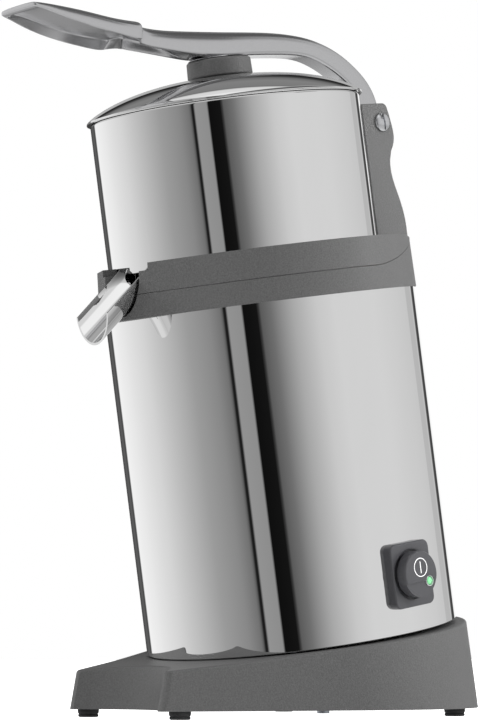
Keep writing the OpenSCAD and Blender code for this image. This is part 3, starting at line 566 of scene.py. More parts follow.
# Bright-trimmed plastic rim round the lamp.
BRIGHT_TRIM = Finish("bright_trim_ring", "#d9d9dc", roughness=0.15, second_colour="#cfcfd3", speck=1.0,
                     metallic=0.6)
# Off-white food-grade acetal, slightly waxy.
FOOD_ACETAL = Finish("food_grade_acetal", "#e6e2d8", roughness=0.38, second_colour="#ded9cd",
                     speck=6, ior=1.48)
# Cream thermoset moulding, hard and half dull.
THERMOSET = Finish("cream_thermoset", "#ddd6bd", roughness=0.45, second_colour="#d2cab0", speck=2)
# Drawn aluminium can: bright, with fine lines along it.
DRAWN_CAN = Finish("drawn_aluminium_can", "#c4c5c6", metallic=1.0, roughness=0.3, second_colour="#b8b9bb",
                   speck=1.0, stretch=(1, 1, 0.05))


def dress(piece: Piece, where: Matrix, sharp: float, finish: Finish, body: Body, slot: str,
          *nodes: str) -> None:
    """Puts a new piece in its place and gives it shading, finish, body and the nodes it stands for.

    Args:
        piece: The piece.
        where: Its axes in the frame.
        sharp: Angle in degrees over which an edge stays sharp.
        finish: Its surface.
        body: The body it rides on.
        slot: The record's material slot; not used.
        nodes: The frame's nodes that it replaces.
    """
    Bench.place(piece, where)
    Bench.shade(piece, sharp)
    piece.data.materials.clear()
    piece.data.materials.append(finish.make())
    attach(piece, body.value)
    if nodes:
        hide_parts(*nodes)
    LOG.info("%s: %d faces", piece.name, len(piece.data.polygons))


# ---------------------------------------------------------------- base


@dataclass
class Base:
    """The cast base: a rear round that holds the tube, and two toes with a bay between them."""

    foot_h: float = 5.0
    top_r: float = 106.4
    foot_r: float = 107.6
    toe_x: float = 44.0
    toe_reach: float = 145.5
    toe_r: float = 5.0
    toe_slope: float = math.radians(12.2)
    bay_half: float = 44.0
    bay_depth: float = 22.5
    # How far inside the toe's round the bay's edge starts
    bay_inset: float = 6.0
    edge_r: float = 2.6
    top_tilt: float = math.radians(8.5)
    top_h: float = 49.4
    # How much the toes' top is raised, and where the raising starts and is complete
    toe_lift: float = 1.2
    lift_from: float = -84.0
    lift_over: float = 52.0
    # How far apart the cuts for it lie, over what height it fades in, how it grows and its largest share
    lift_step: float = 9.0
    lift_height: float = 26.0
    lift_curve: float = 1.6
    lift_most: float = 1.2
    wall: float = 4.6
    recess_depth: float = 8.0
    gland_r: float = 12.4
    gland_h: float = 26.0
    gland_depth: float = 8.5
    front_foot: Point = (46.0, -136.0)
    rear_foot: Point = (83.0, 56.0)
    # One foot's profile, with its waist and its screw hole: (radius, height)
    foot_profile: tuple = (
        (3.8, 0.0), (5.6, 0.0), (6.25, 0.5), (6.35, 1.4), (6.0, 1.8), (6.1, 2.3), (6.55, 2.7), (6.7, 4.4),
        (6.5, 5.0), (2.1, 5.0), (2.1, 2.5), (3.8, 2.5))

    def shift(self) -> float:
        """Returns how far behind the tube's foot the rear round's centre lies on the table."""
        return (PLACE.seat_h - self.foot_h) * math.tan(PLACE.lean)

    def bay_centre(self, z: float) -> float:
        """Returns how far back the middle of the bay's round lies at a height."""
        front = -(self.toe_reach + self.toe_r - self.bay_depth + self.bay_r())
        return front + (z - self.foot_h) * math.tan(self.toe_slope)

    def bay_r(self) -> float:
        """Returns the radius of the bay."""
        return (self.bay_half ** 2 + self.bay_depth ** 2) / (2 * self.bay_depth)

    def half_outline(self, radius: float, centre_y: float, toe_y: float,
                     bay_at: Callable[[float], float]) -> list[Point]:
        """Traces one half of the outline, from the middle of the rear to the middle of the bay.

        Args:
            radius: Radius of the rear round.
            centre_y: Where the rear round is centred.
            toe_y: Where the toe's round is centred.
            bay_at: Gives the bay's edge at a distance across.

        Returns:
            Points of (across, back).
        """
        gap = Vector((self.toe_x, toe_y - centre_y))
        turn = math.degrees(math.atan2(gap.y, gap.x) + math.acos((radius - self.toe_r) / gap.length))
        rear = arc(0, centre_y, radius, 90, turn, 44)
        inner = self.toe_x - self.bay_inset
        toe = arc(self.toe_x, toe_y, self.toe_r, turn, -108, 9)
        bay = [(inner * (1 - i / 20), bay_at(inner * (1 - i / 20))) for i in range(21)]
        return rear + toe + bay

    def rings(self) -> list[list[Point]]:
        """Returns the outline at the bottom and at the leaning top, as points in space."""
        tilt_sin, tilt_cos = math.sin(self.top_tilt), math.cos(self.top_tilt)

        def bay_low(x: float) -> float:
            """Gives the bay's edge at the bottom."""
            return self.bay_centre(self.foot_h) + math.sqrt(self.bay_r() ** 2 - x * x)

        def bay_high(x: float) -> float:
            """Gives the bay's edge on the leaning top, in the top's own plane."""
            back = -self.toe_reach
            for _ in range(6):
                z = self.top_h + back * tilt_sin
                back = (self.bay_centre(z) + math.sqrt(self.bay_r() ** 2 - x * x)) / tilt_cos
            return back

        toe_top = (self.toe_reach - (self.top_h - self.foot_h) * math.tan(self.toe_slope)) / (
            1 - math.tan(self.top_tilt) * math.tan(self.toe_slope)) / tilt_cos
        low = self.half_outline(self.foot_r, self.shift(), -self.toe_reach, bay_low)
        high = self.half_outline(self.top_r, 0.0, -toe_top, bay_high)
        low_ring = [(x, y, self.foot_h) for x, y in self.both(low)]
        high_ring = [(x, y * tilt_cos, self.top_h + y * tilt_sin) for x, y in self.both(high)]
        return [low_ring, high_ring]

    def lift_toes(self, casting: Piece) -> None:
        """Flattens the top towards the toes: cuts across it, then raises what lies ahead of each cut."""
        Bench.edit(casting)
        for step in range(6):
            bpy.ops.mesh.select_all(action="SELECT")
            cut_y = (self.lift_from - self.lift_step * step) * MM
            bpy.ops.mesh.bisect(plane_co=(0, cut_y, 0), plane_no=(0, 1, 0))
        mesh = bmesh.from_edit_mesh(casting.data)
        for vertex in mesh.verts:
            ahead = min(self.lift_most, max(0.0, (self.lift_from - vertex.co.y / MM) / self.lift_over))
            height = min(1.0, max(0.0, (vertex.co.z / MM - self.foot_h) / self.lift_height))
            vertex.co.z += self.toe_lift * MM * ahead ** self.lift_curve * height
        bmesh.update_edit_mesh(casting.data)
        bpy.ops.object.mode_set(mode="OBJECT")

    def recess(self) -> Piece:
        """Returns the hollow under the base, as a solid to cut with."""
        side = arc(0, self.shift(), self.foot_r - self.wall, 90, -38, 36)
        toe = [(self.toe_x + 0.4, -self.toe_reach + 1.0), (self.toe_x - 4.0, -self.toe_reach + 1.5)]
        back = self.bay_centre(self.foot_h)
        bay = [(x, back + math.sqrt((self.bay_r() + self.wall) ** 2 - x * x))
               for x in range(int(self.toe_x - self.bay_inset), -1, -3)]
        outline = self.both(side + toe + bay)
        return Bench.plate("recess", [(x, y, self.foot_h - 1) for x, y in outline],
                           (0, 0, self.recess_depth + 1))

    @staticmethod
    def both(half: Sequence[Point]) -> list[Point]:
        """Completes a half outline with its mirror image."""
        return list(half) + [(-x, y) for x, y in reversed(half[1:-1])]

    def build(self) -> None:
        """Models the casting and its feet."""
        casting = Bench.loft("base_casting_shell", self.rings())
        Bench.edit(casting)
        tilt_tan = math.tan(self.top_tilt)

        def on_top(p: Vector) -> bool:
            """Says whether a point lies on the leaning top."""
            return abs(p.z - (self.top_h + p.y * tilt_tan)) < 0.2

        Bench.pick_edges(on_top)
        bpy.ops.mesh.bevel(offset=self.edge_r * MM, segments=5, profile=0.5, affect="EDGES",
                           clamp_overlap=True)
        bpy.ops.object.mode_set(mode="OBJECT")
        self.lift_toes(casting)
        Bench.cut(casting, self.recess())
        rear = self.shift() + self.foot_r
        gland = Bench.rod("gland_seat", self.gland_r, (0, rear - self.gland_depth, self.gland_h),
                          (0, rear + 20, self.gland_h), 64)
        Bench.cut(casting, gland)
        dress(casting, PLACE.table(), 32, POWDER_COAT, Body.STAND, "powder_coat", "base_casting")
        self.feet()

    def feet(self) -> None:
        """Models the four rubber feet as turned pieces."""
        feet = []
        for x, y in (self.front_foot, self.rear_foot):
            for side in (-1, 1):
                foot = Bench.turned("foot", self.foot_profile, True, 48)
                Bench.place(foot, moved(side * x, y + PLACE.stand_y, 0))
                feet.append(foot)
        piece = Bench.merge("rubber_feet_set", feet)
        dress(piece, Matrix.Identity(4), 40, BLACK_RUBBER, Body.STAND, "black_rubber", "rubber_feet")


# ---------------------------------------------------------------- tube and head


@dataclass
class BodyTube:
    """The polished steel tube between base and head."""

    radius: float = 100.0
    wall: float = 1.2
    top: float = 224.0

    def build(self) -> None:
        """Models the tube with its slightly turned lower lip."""
        inner = self.radius - self.wall
        profile = [(inner, 0.2), (inner + 0.2, 0.0), (self.radius - 0.3, 0.0), (self.radius, 0.4),
                   (self.radius, self.top), (inner, self.top)]
        piece = Bench.turned("body_tube_shell", profile, True, 192)
        dress(piece, PLACE.body(), 30, MIRROR_STEEL, Body.STAND, "mirror_steel", "body_tube")


@dataclass
class Head:
    """The cast head: the collar with its nose, the post and its two ears."""

    foot: float = 213.2
    top: float = 246.6
    deck: float = 227.0
    seam: float = 228.2
    radius: float = 102.6
    draft: float = 0.9
    nose_r: float = 44.0
    nose_reach: float = 113.0
    block_half: float = 18.95
    block_rear: float = 122.0
    block_corner: float = 3.0
    post_front: float = 92.5
    post_half: float = 19.0
    pivot_ahead: float = -110.0
    pivot_up: float = 326.0
    post_top: float = 338.0
    slot_half: float = 7.9
    seat_r: float = 87.6
    skirt_r: float = 98.4
    skirt_top: float = 219.0
    bore_r: float = 4.05
    # The notch in the nose's top edge, over the spout: left, right and depth
    notch: Point = (-24.4, 22.6, 4.6)
    # By what share the collar draws in at its rear quarters, at the foot and above it
    foot_draw: float = 0.006
    upper_draw: float = 0.021

    def outline(self, grow: float, rear: float) -> list[Point]:
        """Returns half of the collar's outline, as points of (across, ahead).

        Args:
            grow: How much the outline is grown.
            rear: How far back the block reaches.

        Returns:
            The points, from the middle of the rear to the middle of the nose.
        """
        radius, nose_r = self.radius + grow, self.nose_r + grow
        centre = self.nose_reach - self.nose_r
        turn = math.degrees(math.asin((radius - nose_r) / centre))
        half = self.block_half
        low = math.degrees(math.acos(half / radius))
        join = radius * math.sin(math.radians(low))
        corner = self.block_corner
        block = [(half - corner, -rear)] + arc(half - corner, -rear + corner, corner, -75, 0, 4)
        side = [(half, -rear + (rear - join) * t) for t in (0.3, 0.6)]
        start = math.radians(low - 5)
        blend = curve((half, -join - 1.5), (half, -join + 1), (half + corner, -join + 1.6),
                      (radius * math.cos(start), -radius * math.sin(start)), 5)
        round_part = arc(0, 0, radius, -(low - 7), turn, 56)
        nose = arc(0, centre, nose_r, turn, 90, 16)[1:]
        return block + side + blend + round_part + nose

    def ring(self, grow: float, rear: float, height: Callable[[float, float], float]) -> list[Point]:
        """Returns a whole ring of the collar, at heights that depend on the place."""
        drawn = [(point, 1 - self.draw_in(*point, grow)) for point in self.outline(grow, rear)]
        half = [(x * keep, ahead * keep) for (x, ahead), keep in drawn]
        whole = half + [(-x, ahead) for x, ahead in reversed(half[:-1])]
        return [(x, -ahead, height(x, ahead)) for x, ahead in whole]

    def draw_in(self, x: float, ahead: float, grow: float) -> float:
        """Returns by what share the collar draws in at its rear quarters, more above the foot."""
        round_about = math.degrees(math.atan2(-ahead, abs(x)))
        share = min(1.0, max(0.0, round_about / 30)) * min(1.0, max(0.0, (74 - round_about) / 8))
        return share * (self.foot_draw if grow == -self.draft else self.upper_draw)

    def seam_height(self, x: float, ahead: float) -> float:
        """Returns the height of the collar's seam, which sweeps up towards the post."""
        round_about = math.degrees(math.atan2(-ahead, abs(x)))
        share = min(1.0, max(0.0, (round_about - 8) / 40))
        return self.seam + (self.top - 1.4 - self.seam) * share ** 1.35

    def collar(self) -> Piece:
        """Models the collar as a solid, with a fine step at the seam."""
        rings = [
            self.ring(-self.draft, self.block_rear, lambda x, a: self.foot),
            self.ring(0.05, self.block_rear - 1.0, lambda x, a: self.seam_height(x, a) - 0.5),
            self.ring(-0.35, self.block_rear - 1.4, lambda x, a: self.seam_height(x, a) - 0.25),
            self.ring(0.20, self.block_rear - 1.0, self.seam_height),
            self.ring(-self.draft * 1.3, self.block_rear - 2.3, lambda x, a: self.top),
        ]
        return Bench.loft("head_casting_shell", rings)

    def post(self) -> Piece:
        """Models the post from its side outline, with its edges rounded."""
        back, up, rear, low = self.pivot_ahead - 8.2, self.pivot_up, -self.block_rear, self.foot + 2
        outline = ([(-self.post_front, low), (-self.post_front, self.post_top)]
                   + arc(back + 6.2, self.post_top - 4, 4, 90, 165, 6)
                   + curve((back + 1, up + 4), (back - 1, up - 7), (back - 3, up - 12),
                           (back + 3, up - 20), 12)
                   + curve((back + 5, up - 26), (back + 8, up - 42), (rear + 0.6, up - 52),
                           (rear + 1.7, up - 76), 14)
                   + [(rear, low)])
        points = [(-self.post_half, -ahead, height) for ahead, height in outline]
        post = Bench.plate("post", points, (2 * self.post_half, 0, 0))
        Bench.round_edges(post, 1.0, 3, 50)
        slot = Bench.block("slot", (-self.slot_half, -self.pivot_ahead - 40, up - 13),
                           (self.slot_half, -self.pivot_ahead + 40, up + 60))
        Bench.cut(post, slot)
        return post

    def build(self) -> None:
        """Models the whole casting."""
        casting = self.collar()
        Bench.weld(casting, self.post(), Weld.JOIN)
        ahead, rear = PLACE.bowl_ahead, -self.pivot_ahead
        left, right, depth = self.notch
        seat = Bench.rod("seat", self.seat_r, (0, -ahead, self.deck), (0, -ahead, 300), 160)
        Bench.cut(seat, Bench.block("guard", (-60, 90, self.top + 0.6), (60, 140, 400)))
        under = Bench.rod("under", self.skirt_r, (0, 0, 200), (0, 0, self.skirt_top), 128)
        bore = Bench.rod("bore", self.bore_r, (-40, rear, self.pivot_up), (40, rear, self.pivot_up))
        Bench.cut(casting, seat, under, bore)
        notch = Bench.block("notch", (left, -140, self.top - depth), (right, -ahead - 80, 300))
        Bench.cut(casting, notch)
        Bench.cut(casting, Spout().clearance())
        Bench.round_edges(casting, 0.45, 2, 48)
        dress(casting, PLACE.body(), 38, POWDER_COAT, Body.STAND, "powder_coat", "head_casting")


# ---------------------------------------------------------------- bowl and spout


@dataclass
class Spout:
    """The half-round channel that leads the juice out of the bowl."""

    radius: float = 16.0
    wall: float = 1.2
    # How far the section runs up each side from the keel, in degrees
    half_turn: float = 86.0
    fall: float = math.radians(35.5)
    keel: float = 228.2
    bowl_r: float = 86.8
    reach: float = 135.5
    room: float = 1.25
    # Where the sections stand, out from the bowl's wall
    stations: tuple = (-9.0, -5.0, -1.0, 3.0, 7.0, 11.0, 16.0, 24.0, 34.0, 46.0, 60.0)

    def placing(self) -> Matrix:
        """Returns the channel's own axes: it runs towards -y with its keel on z = 0."""
        start = moved(0, -(PLACE.bowl_ahead + self.bowl_r), self.keel)
        return start @ Matrix.Rotation(self.fall, 4, "X")

    def section(self, out: float) -> list[Point]:
        """Returns the channel's section at a distance out from the bowl's wall."""
        points = []
        for radius, angles in ((self.radius, range(-12, 13)), (self.radius - self.wall, range(12, -13, -1))):
            for step in angles:
                turn = math.radians(self.half_turn * step / 12)
                points.append((radius * math.sin(turn), -out, self.radius - radius * math.cos(turn)))
        return points

    def core(self, grow: float, top: float) -> Piece:
        """Returns the bowl's outside as a solid, grown a little and up to a height."""
        ahead = -PLACE.bowl_ahead
        return Bench.rod("core", self.bowl_r + grow, (0, ahead, 150), (0, ahead, top), 192)

    def clearance(self) -> Piece:
        """Returns the room that the head's nose leaves round the channel, in the body's axes."""
        radius = self.radius + self.room
        outline = [(-radius, 60.0)] + arc(0, self.radius, radius, 180, 360, 28) + [(radius, 60.0)]
        tool = Bench.plate("spout_room", [(x, 20.0, z) for x, z in outline], (0, -100, 0))
        Bench.place(tool, self.placing())
        Bench.cut(tool, self.core(0.3, 400))
        return tool

    def build(self) -> None:
        """Models the channel, cut to the bowl's wall and to its square end."""
        piece = Bench.loft("spout_channel", [self.section(out) for out in self.stations])
        Bench.place(piece, self.placing())
        Bench.cut(piece, self.core(0.05, 330))
        Bench.cut(piece, Bench.block("end", (-60, -260, 100), (60, -self.reach, 330)))
        Bench.round_edges(piece, 0.35, 2, 50)
        dress(piece, PLACE.body(), 35, MIRROR_STEEL, Body.STAND, "mirror_steel", "spout")


@dataclass
class JuiceBowl:
    """The polished juice bowl with its upright tube and its outlet."""

    radius: float = 86.8
    wall: float = 1.0
    floor: float = 227.0
    rim: float = 340.0
    hub_r: float = 16.0
    hub_top: float = 258.0
    outlet_top: float = 242.0

    def build(self) -> None:
        """Models the bowl from one turned profile, and opens the outlet."""
        inner, hub_in = self.radius - self.wall, self.hub_r - 1.5
        profile = (
            [(hub_in, self.floor), (self.radius - 3, self.floor)]
            + arc(self.radius - 3, self.floor + 3, 3, -75, 0, 5)
            + [(self.radius, self.floor + 4.0), (self.radius, self.rim - 1.4),
               (self.radius, self.rim - 0.6), (self.radius - 0.4, self.rim), (inner + 0.1, self.rim),
               (inner, self.rim - 0.6)]
            + arc(inner - 4, self.floor + self.wall + 4, 4, 0, -90, 6)
            + arc(self.hub_r + 3, self.floor + self.wall + 3, 3, -90, -180, 5)
            + [(self.hub_r, self.hub_top - 0.4), (self.hub_r - 0.4, self.hub_top), (hub_in, self.hub_top)])
        piece = Bench.turned("juice_bowl_shell", profile, True, 192)
        Bench.place(piece, moved(0, -PLACE.bowl_ahead, 0))
        spout = Spout()
        round_under = arc(0, spout.radius, spout.radius - spout.wall, 180, 360, 24)
        hole = Bench.plate("outlet", [(x, 10.0, z) for x, z in round_under], (0, -30, 0))
        Bench.place(hole, spout.placing())
        keep = Bench.block("keep", (-40, -130, self.floor + self.wall), (40, -60, self.outlet_top))
        Bench.weld(hole, keep, Weld.KEEP)
        Bench.cut(piece, hole)
        dress(piece, PLACE.body(), 35, MIRROR_STEEL, Body.STAND, "mirror_steel", "bowl")


# ---------------------------------------------------------------- lid


@dataclass
class Lid:
    """The domed lid and its knob."""

    foot: float = 340.3
    crown: float = 361.0
    edge_r: float = 89.0
    seat_r: float = 82.0
    edge_round: float = 0.45
    sheet: float = 1.2
    # How flat the dome's middle is, and how steeply its edge falls
    flatness: float = 2.4
    steepness: float = 0.8
    bore_r: float = 3.05
    knob_r: float = 21.0
    knob_top: float = 372.7

    def dome(self) -> None:
        """Models the lid: a shallow dome that falls ever more steeply to a thin edge."""
        edge, foot = self.edge_r, self.foot
        upper = []
        for step in range(41):
            r = edge * math.sin(math.radians(8 + 78 * step / 40))
            share = (1 - (r / edge) ** self.flatness) ** self.steepness
            upper.append((r, foot + 1.0 + (self.crown - foot - 1.0) * share))
        lower = [(r - (self.sheet if r > 60 else 0.0), z - self.sheet)
                 for r, z in reversed(upper) if r < self.seat_r]
        rim = arc(edge - self.edge_round, foot + 0.5, self.edge_round, 60, -75, 5)
        rim += [(edge - 1.8, foot + 0.05), (self.seat_r + 1.0, foot), (self.seat_r - 0.8, foot + 0.3)]
        piece = Bench.turned("lid_dome_shell", upper + rim + lower, True, 192)
        dress(piece, PLACE.bowl(), 40, MIRROR_STEEL, Body.LID, "mirror_steel", "lid_dome")

    def knob(self) -> None:
        """Models the knob, a short drum with rounded edges and a shadow gap under it."""
        r, low, high = self.knob_r, self.crown, self.knob_top
        profile = ([(self.bore_r, low - 0.1), (r - 2.4, low - 0.1), (r - 1.7, low + 0.3)]
                   + arc(r - 1.2, low + 1.5, 1.2, -80, 0, 5)
                   + arc(r - 1.5, high - 1.2, 1.2, 0, 90, 5) + [(self.bore_r, high)])
        piece = Bench.turned("lid_knob_drum", profile, True, 96)
        dress(piece, PLACE.bowl(), 40, POWDER_COAT, Body.LID, "powder_coat", "lid_knob")

    def build(self) -> None:
        """Models the pieces of the lid."""
        self.dome()
        self.knob()


# ---------------------------------------------------------------- lever

# Width of the lip round the paddle's hollow, and how deep the slope inside it reaches, in millimetres
LIP = 2.0
LEDGE = 4.7


@dataclass
class Station:
    """One cross-section of the lever, between a point on its top and a point on its underside.

    Each point is (ahead, up). The section is a rounded box, hollow below where ``hollow`` says so.
    """

    top: Point
    under: Point
    half: float
    edge: float
    corner: float
    power: float
    hollow: float = 0.0

    def ring(self) -> list[Point]:
        """Returns the section's points, in the body's axes."""
        top, under = Vector(self.top), Vector(self.under)
        height = (top - under).length
        # Underside: the hollow's floor, its sloping wall and the lip round it
        deep, inner = self.hollow, self.half - LIP
        slope = min(1.0, deep / 3) * max(0.3, (self.half - 9) * 0.33)
        ledge = min(deep, LEDGE)
        side = [(0.0, deep), (inner * 0.5 - slope * 0.5, deep), (inner - slope - 1.0, deep),
                (inner - slope - 0.5, max(ledge, deep - 0.8)), (inner - slope, ledge),
                (inner + 0.4, min(deep, 0.3)), (inner + 0.6, 0.0)]
        # Lower corner: a round
        side += [(self.half - self.corner + self.corner * math.sin(math.radians(a)),
                  self.corner - self.corner * math.cos(math.radians(a))) for a in (10, 45, 85)]
        # Side and top: straight, then a superellipse
        base = max(self.edge * height, self.corner * 1.02)
        for step in range(8):
            turn = math.radians(12.5 * step)
            side.append((self.half * max(0.0, math.cos(turn)) ** (2 / self.power),
                         base + (height - base) * math.sin(turn) ** (2 / self.power)))
        side.append((0.0, height))
        whole = side + [(-u, v) for u, v in reversed(side[1:-1])]
        points = []
        for across, up in whole:
            spot = under + (top - under) * (up / height)
            points.append((across, -spot.x, spot.y))
        return points


@dataclass
class Lever:
    """The cast lever: eye, swan neck, foot over the knob, and the paddle."""

    stations: tuple = field(default_factory=lambda: (
        # top, underside, half width, straight share of the side, lower corner, roundness, hollow
        Station((-112.5, 314.6), (-107.5, 314.6), 5.6, 0.30, 1.2, 3.0),
        Station((-118.6, 317.4), (-101.4, 317.4), 7.2, 0.30, 2.0, 3.4),
        Station((-121.9, 324.0), (-98.4, 324.0), 7.4, 0.30, 2.2, 3.4),
        Station((-122.0, 334.0), (-101.2, 334.6), 7.5, 0.30, 2.2, 3.4),
        Station((-120.5, 343.9), (-102.5, 342.6), 7.5, 0.30, 2.2, 3.4),
        Station((-115.0, 354.8), (-98.0, 350.0), 7.5, 0.30, 2.2, 3.4),
        Station((-105.7, 364.5), (-91.8, 355.9), 7.5, 0.30, 2.2, 3.4),
        Station((-91.3, 375.6), (-80.5, 364.0), 7.5, 0.30, 2.2, 3.4),
        Station((-72.9, 383.3), (-66.0, 371.0), 7.6, 0.30, 2.2, 3.4),
        Station((-57.6, 386.9), (-53.5, 373.5), 7.8, 0.30, 2.2, 3.4),
        Station((-37.1, 389.3), (-35.5, 374.2), 8.3, 0.30, 2.2, 3.4),
        Station((-15.0, 390.0), (-14.5, 374.4), 9.2, 0.30, 2.2, 3.4),
        Station((0.0, 390.3), (0.0, 373.9), 9.8, 0.30, 2.2, 3.4),
        Station((9.3, 390.5), (9.3, 373.6), 10.0, 0.30, 2.2, 3.4),
        Station((26.9, 391.1), (27.0, 373.9), 9.8, 0.30, 2.2, 3.4),
        Station((40.0, 391.7), (40.0, 376.0), 9.3, 0.30, 1.6, 3.2, 1.5),
        Station((51.3, 392.2), (52.5, 378.2), 9.1, 0.30, 1.2, 3.0, 6.0),
        Station((62.0, 393.2), (63.5, 380.2), 9.1, 0.30, 1.0, 2.9, 6.4),
        Station((69.5, 394.4), (71.5, 381.6), 9.3, 0.28, 0.9, 2.8, 6.8),
        Station((74.0, 395.3), (76.2, 382.6), 9.9, 0.28, 0.8, 2.8, 7.0),
        Station((75.6, 395.6), (78.0, 383.2), 10.4, 0.28, 0.8, 2.8, 7.0),
        Station((76.4, 394.2), (79.0, 383.2), 10.7, 0.28, 0.8, 2.8, 6.8),
        Station((77.4, 394.0), (80.0, 383.4), 11.4, 0.28, 0.8, 2.8, 6.8),
        Station((78.2, 395.9), (81.0, 384.0), 13.0, 0.28, 0.8, 2.8, 6.8),
        Station((79.4, 396.1), (82.2, 384.3), 15.4, 0.28, 0.8, 2.8, 6.8),
        Station((80.2, 394.9), (83.4, 384.4), 16.8, 0.28, 0.8, 2.8, 6.6),
        Station((81.2, 395.0), (84.4, 384.5), 18.4, 0.28, 0.8, 2.8, 6.5),
        Station((82.2, 397.3), (85.6, 384.6), 20.4, 0.34, 0.7, 3.0, 6.4),
        Station((84.4, 397.6), (87.6, 384.6), 21.2, 0.38, 0.7, 3.0, 6.2),
        Station((88.0, 397.9), (91.0, 385.0), 21.6, 0.40, 0.7, 3.0, 5.9),
        Station((96.0, 398.8), (98.0, 386.5), 22.2, 0.40, 0.7, 3.0, 5.4),
        Station((101.5, 399.6), (103.2, 387.8), 22.4, 0.40, 0.7, 3.0, 5.0),
        Station((106.5, 400.5), (108.2, 388.9), 22.5, 0.40, 0.7, 3.0, 4.8),
        Station((114.0, 402.1), (116.0, 390.8), 22.5, 0.40, 0.7, 3.0, 4.7),
        Station((124.8, 404.6), (126.8, 393.8), 22.3, 0.40, 0.7, 3.0, 4.7),
        Station((136.0, 406.7), (138.0, 397.4), 21.7, 0.40, 0.7, 3.0, 4.5),
        Station((146.0, 408.4), (147.2, 401.0), 20.7, 0.40, 0.7, 3.0, 4.0),
        Station((152.0, 409.3), (152.8, 403.4), 19.8, 0.40, 0.7, 3.0, 3.2),
        Station((156.8, 409.9), (157.4, 405.2), 19.0, 0.40, 0.6, 3.0, 2.4),
        Station((158.0, 410.0), (158.6, 405.6), 18.8, 0.40, 0.6, 3.0, 0.1),
        Station((160.8, 410.2), (161.2, 406.6), 18.3, 0.40, 0.6, 3.0),
        Station((162.0, 410.1), (162.2, 407.1), 17.8, 0.42, 0.5, 3.2),
        Station((162.5, 409.6), (162.6, 407.7), 16.8, 0.45, 0.3, 3.4),
    ))
    foot_r: float = 19.5
    foot_low: float = 372.85

    def foot(self) -> Piece:
        """Models the thin disc that stands on the knob."""
        r, low = self.foot_r, self.foot_low
        profile = ([(0.0, low), (r - 0.8, low), (r, low + 0.35), (r - 0.3, low + 0.8)]
                   + curve((r - 1.5, low + 0.9), (r - 5, low + 1.0), (12.0, low + 1.05), (9.0, low + 1.4), 6)
                   + [(6.5, low + 4.0), (0.0, low + 4.0)])
        piece = Bench.turned("lever_foot", profile, False, 96)
        Bench.place(piece, moved(0, -PLACE.bowl_ahead, 0))
        return piece

    def build(self) -> None:
        """Models the lever as one casting."""
        arm = Bench.loft("lever_casting", [station.ring() for station in self.stations])
        Bench.modify(arm, "SUBSURF", levels=2, render_levels=2)
        piece = Bench.merge("lever_casting", [arm, self.foot()])
        dress(piece, PLACE.body(), 42, SATIN_ALUMINIUM, Body.LEVER, "cast_aluminium", "lever_arm")


@dataclass
class Pivot:
    """The slotted screw through the ears."""

    ahead: float = -109.2
    up: float = 325.2
    half: float = 19.0
    head_r: float = 6.2
    head_h: float = 3.0
    neck_r: float = 3.9
    shank_r: float = 3.98
    slot_half: float = 0.7
    slot_floor: float = 1.5
    slot_turn: float = math.radians(6)

    def placing(self) -> Matrix:
        """Returns axes with z straight out of the screw's ear."""
        turn = Matrix.Rotation(math.radians(90), 4, "Y")
        return PLACE.body() @ moved(0, -self.ahead, self.up) @ turn

    def build(self) -> None:
        """Models the screw: its domed head with the slot, and its shank."""
        r, ear = self.head_r, self.half
        head = [(0.0, ear - 3), (self.neck_r, ear - 3), (self.neck_r, ear + 0.05), (r - 0.2, ear + 0.05),
                (r, ear + 0.3), (r, ear + 0.9)]
        head += curve((r - 0.25, ear + 1.35), (r - 1.4, ear + 2.4), (2.6, ear + self.head_h - 0.05),
                      (0.0, ear + self.head_h), 8)
        screw = Bench.turned("pivot_screw_head", head, False, 64)
        slot = Bench.block("slot", (-8, -self.slot_half, ear + self.slot_floor), (8, self.slot_half, ear + 6))
        Bench.cut(screw, slot)
        Bench.round_edges(screw, 0.12, 2, 50)
        shank = Bench.rod("shank", self.shank_r, (0, 0, -ear - 1), (0, 0, ear - 2), 48)
        screw = Bench.merge("pivot_screw_head", [screw, shank])
        where = self.placing() @ Matrix.Rotation(self.slot_turn, 4, "Z")
        dress(screw, where, 35, BRIGHT_SCREW, Body.STAND, "satin_steel", "pivot_screw")


# ---------------------------------------------------------------- switch


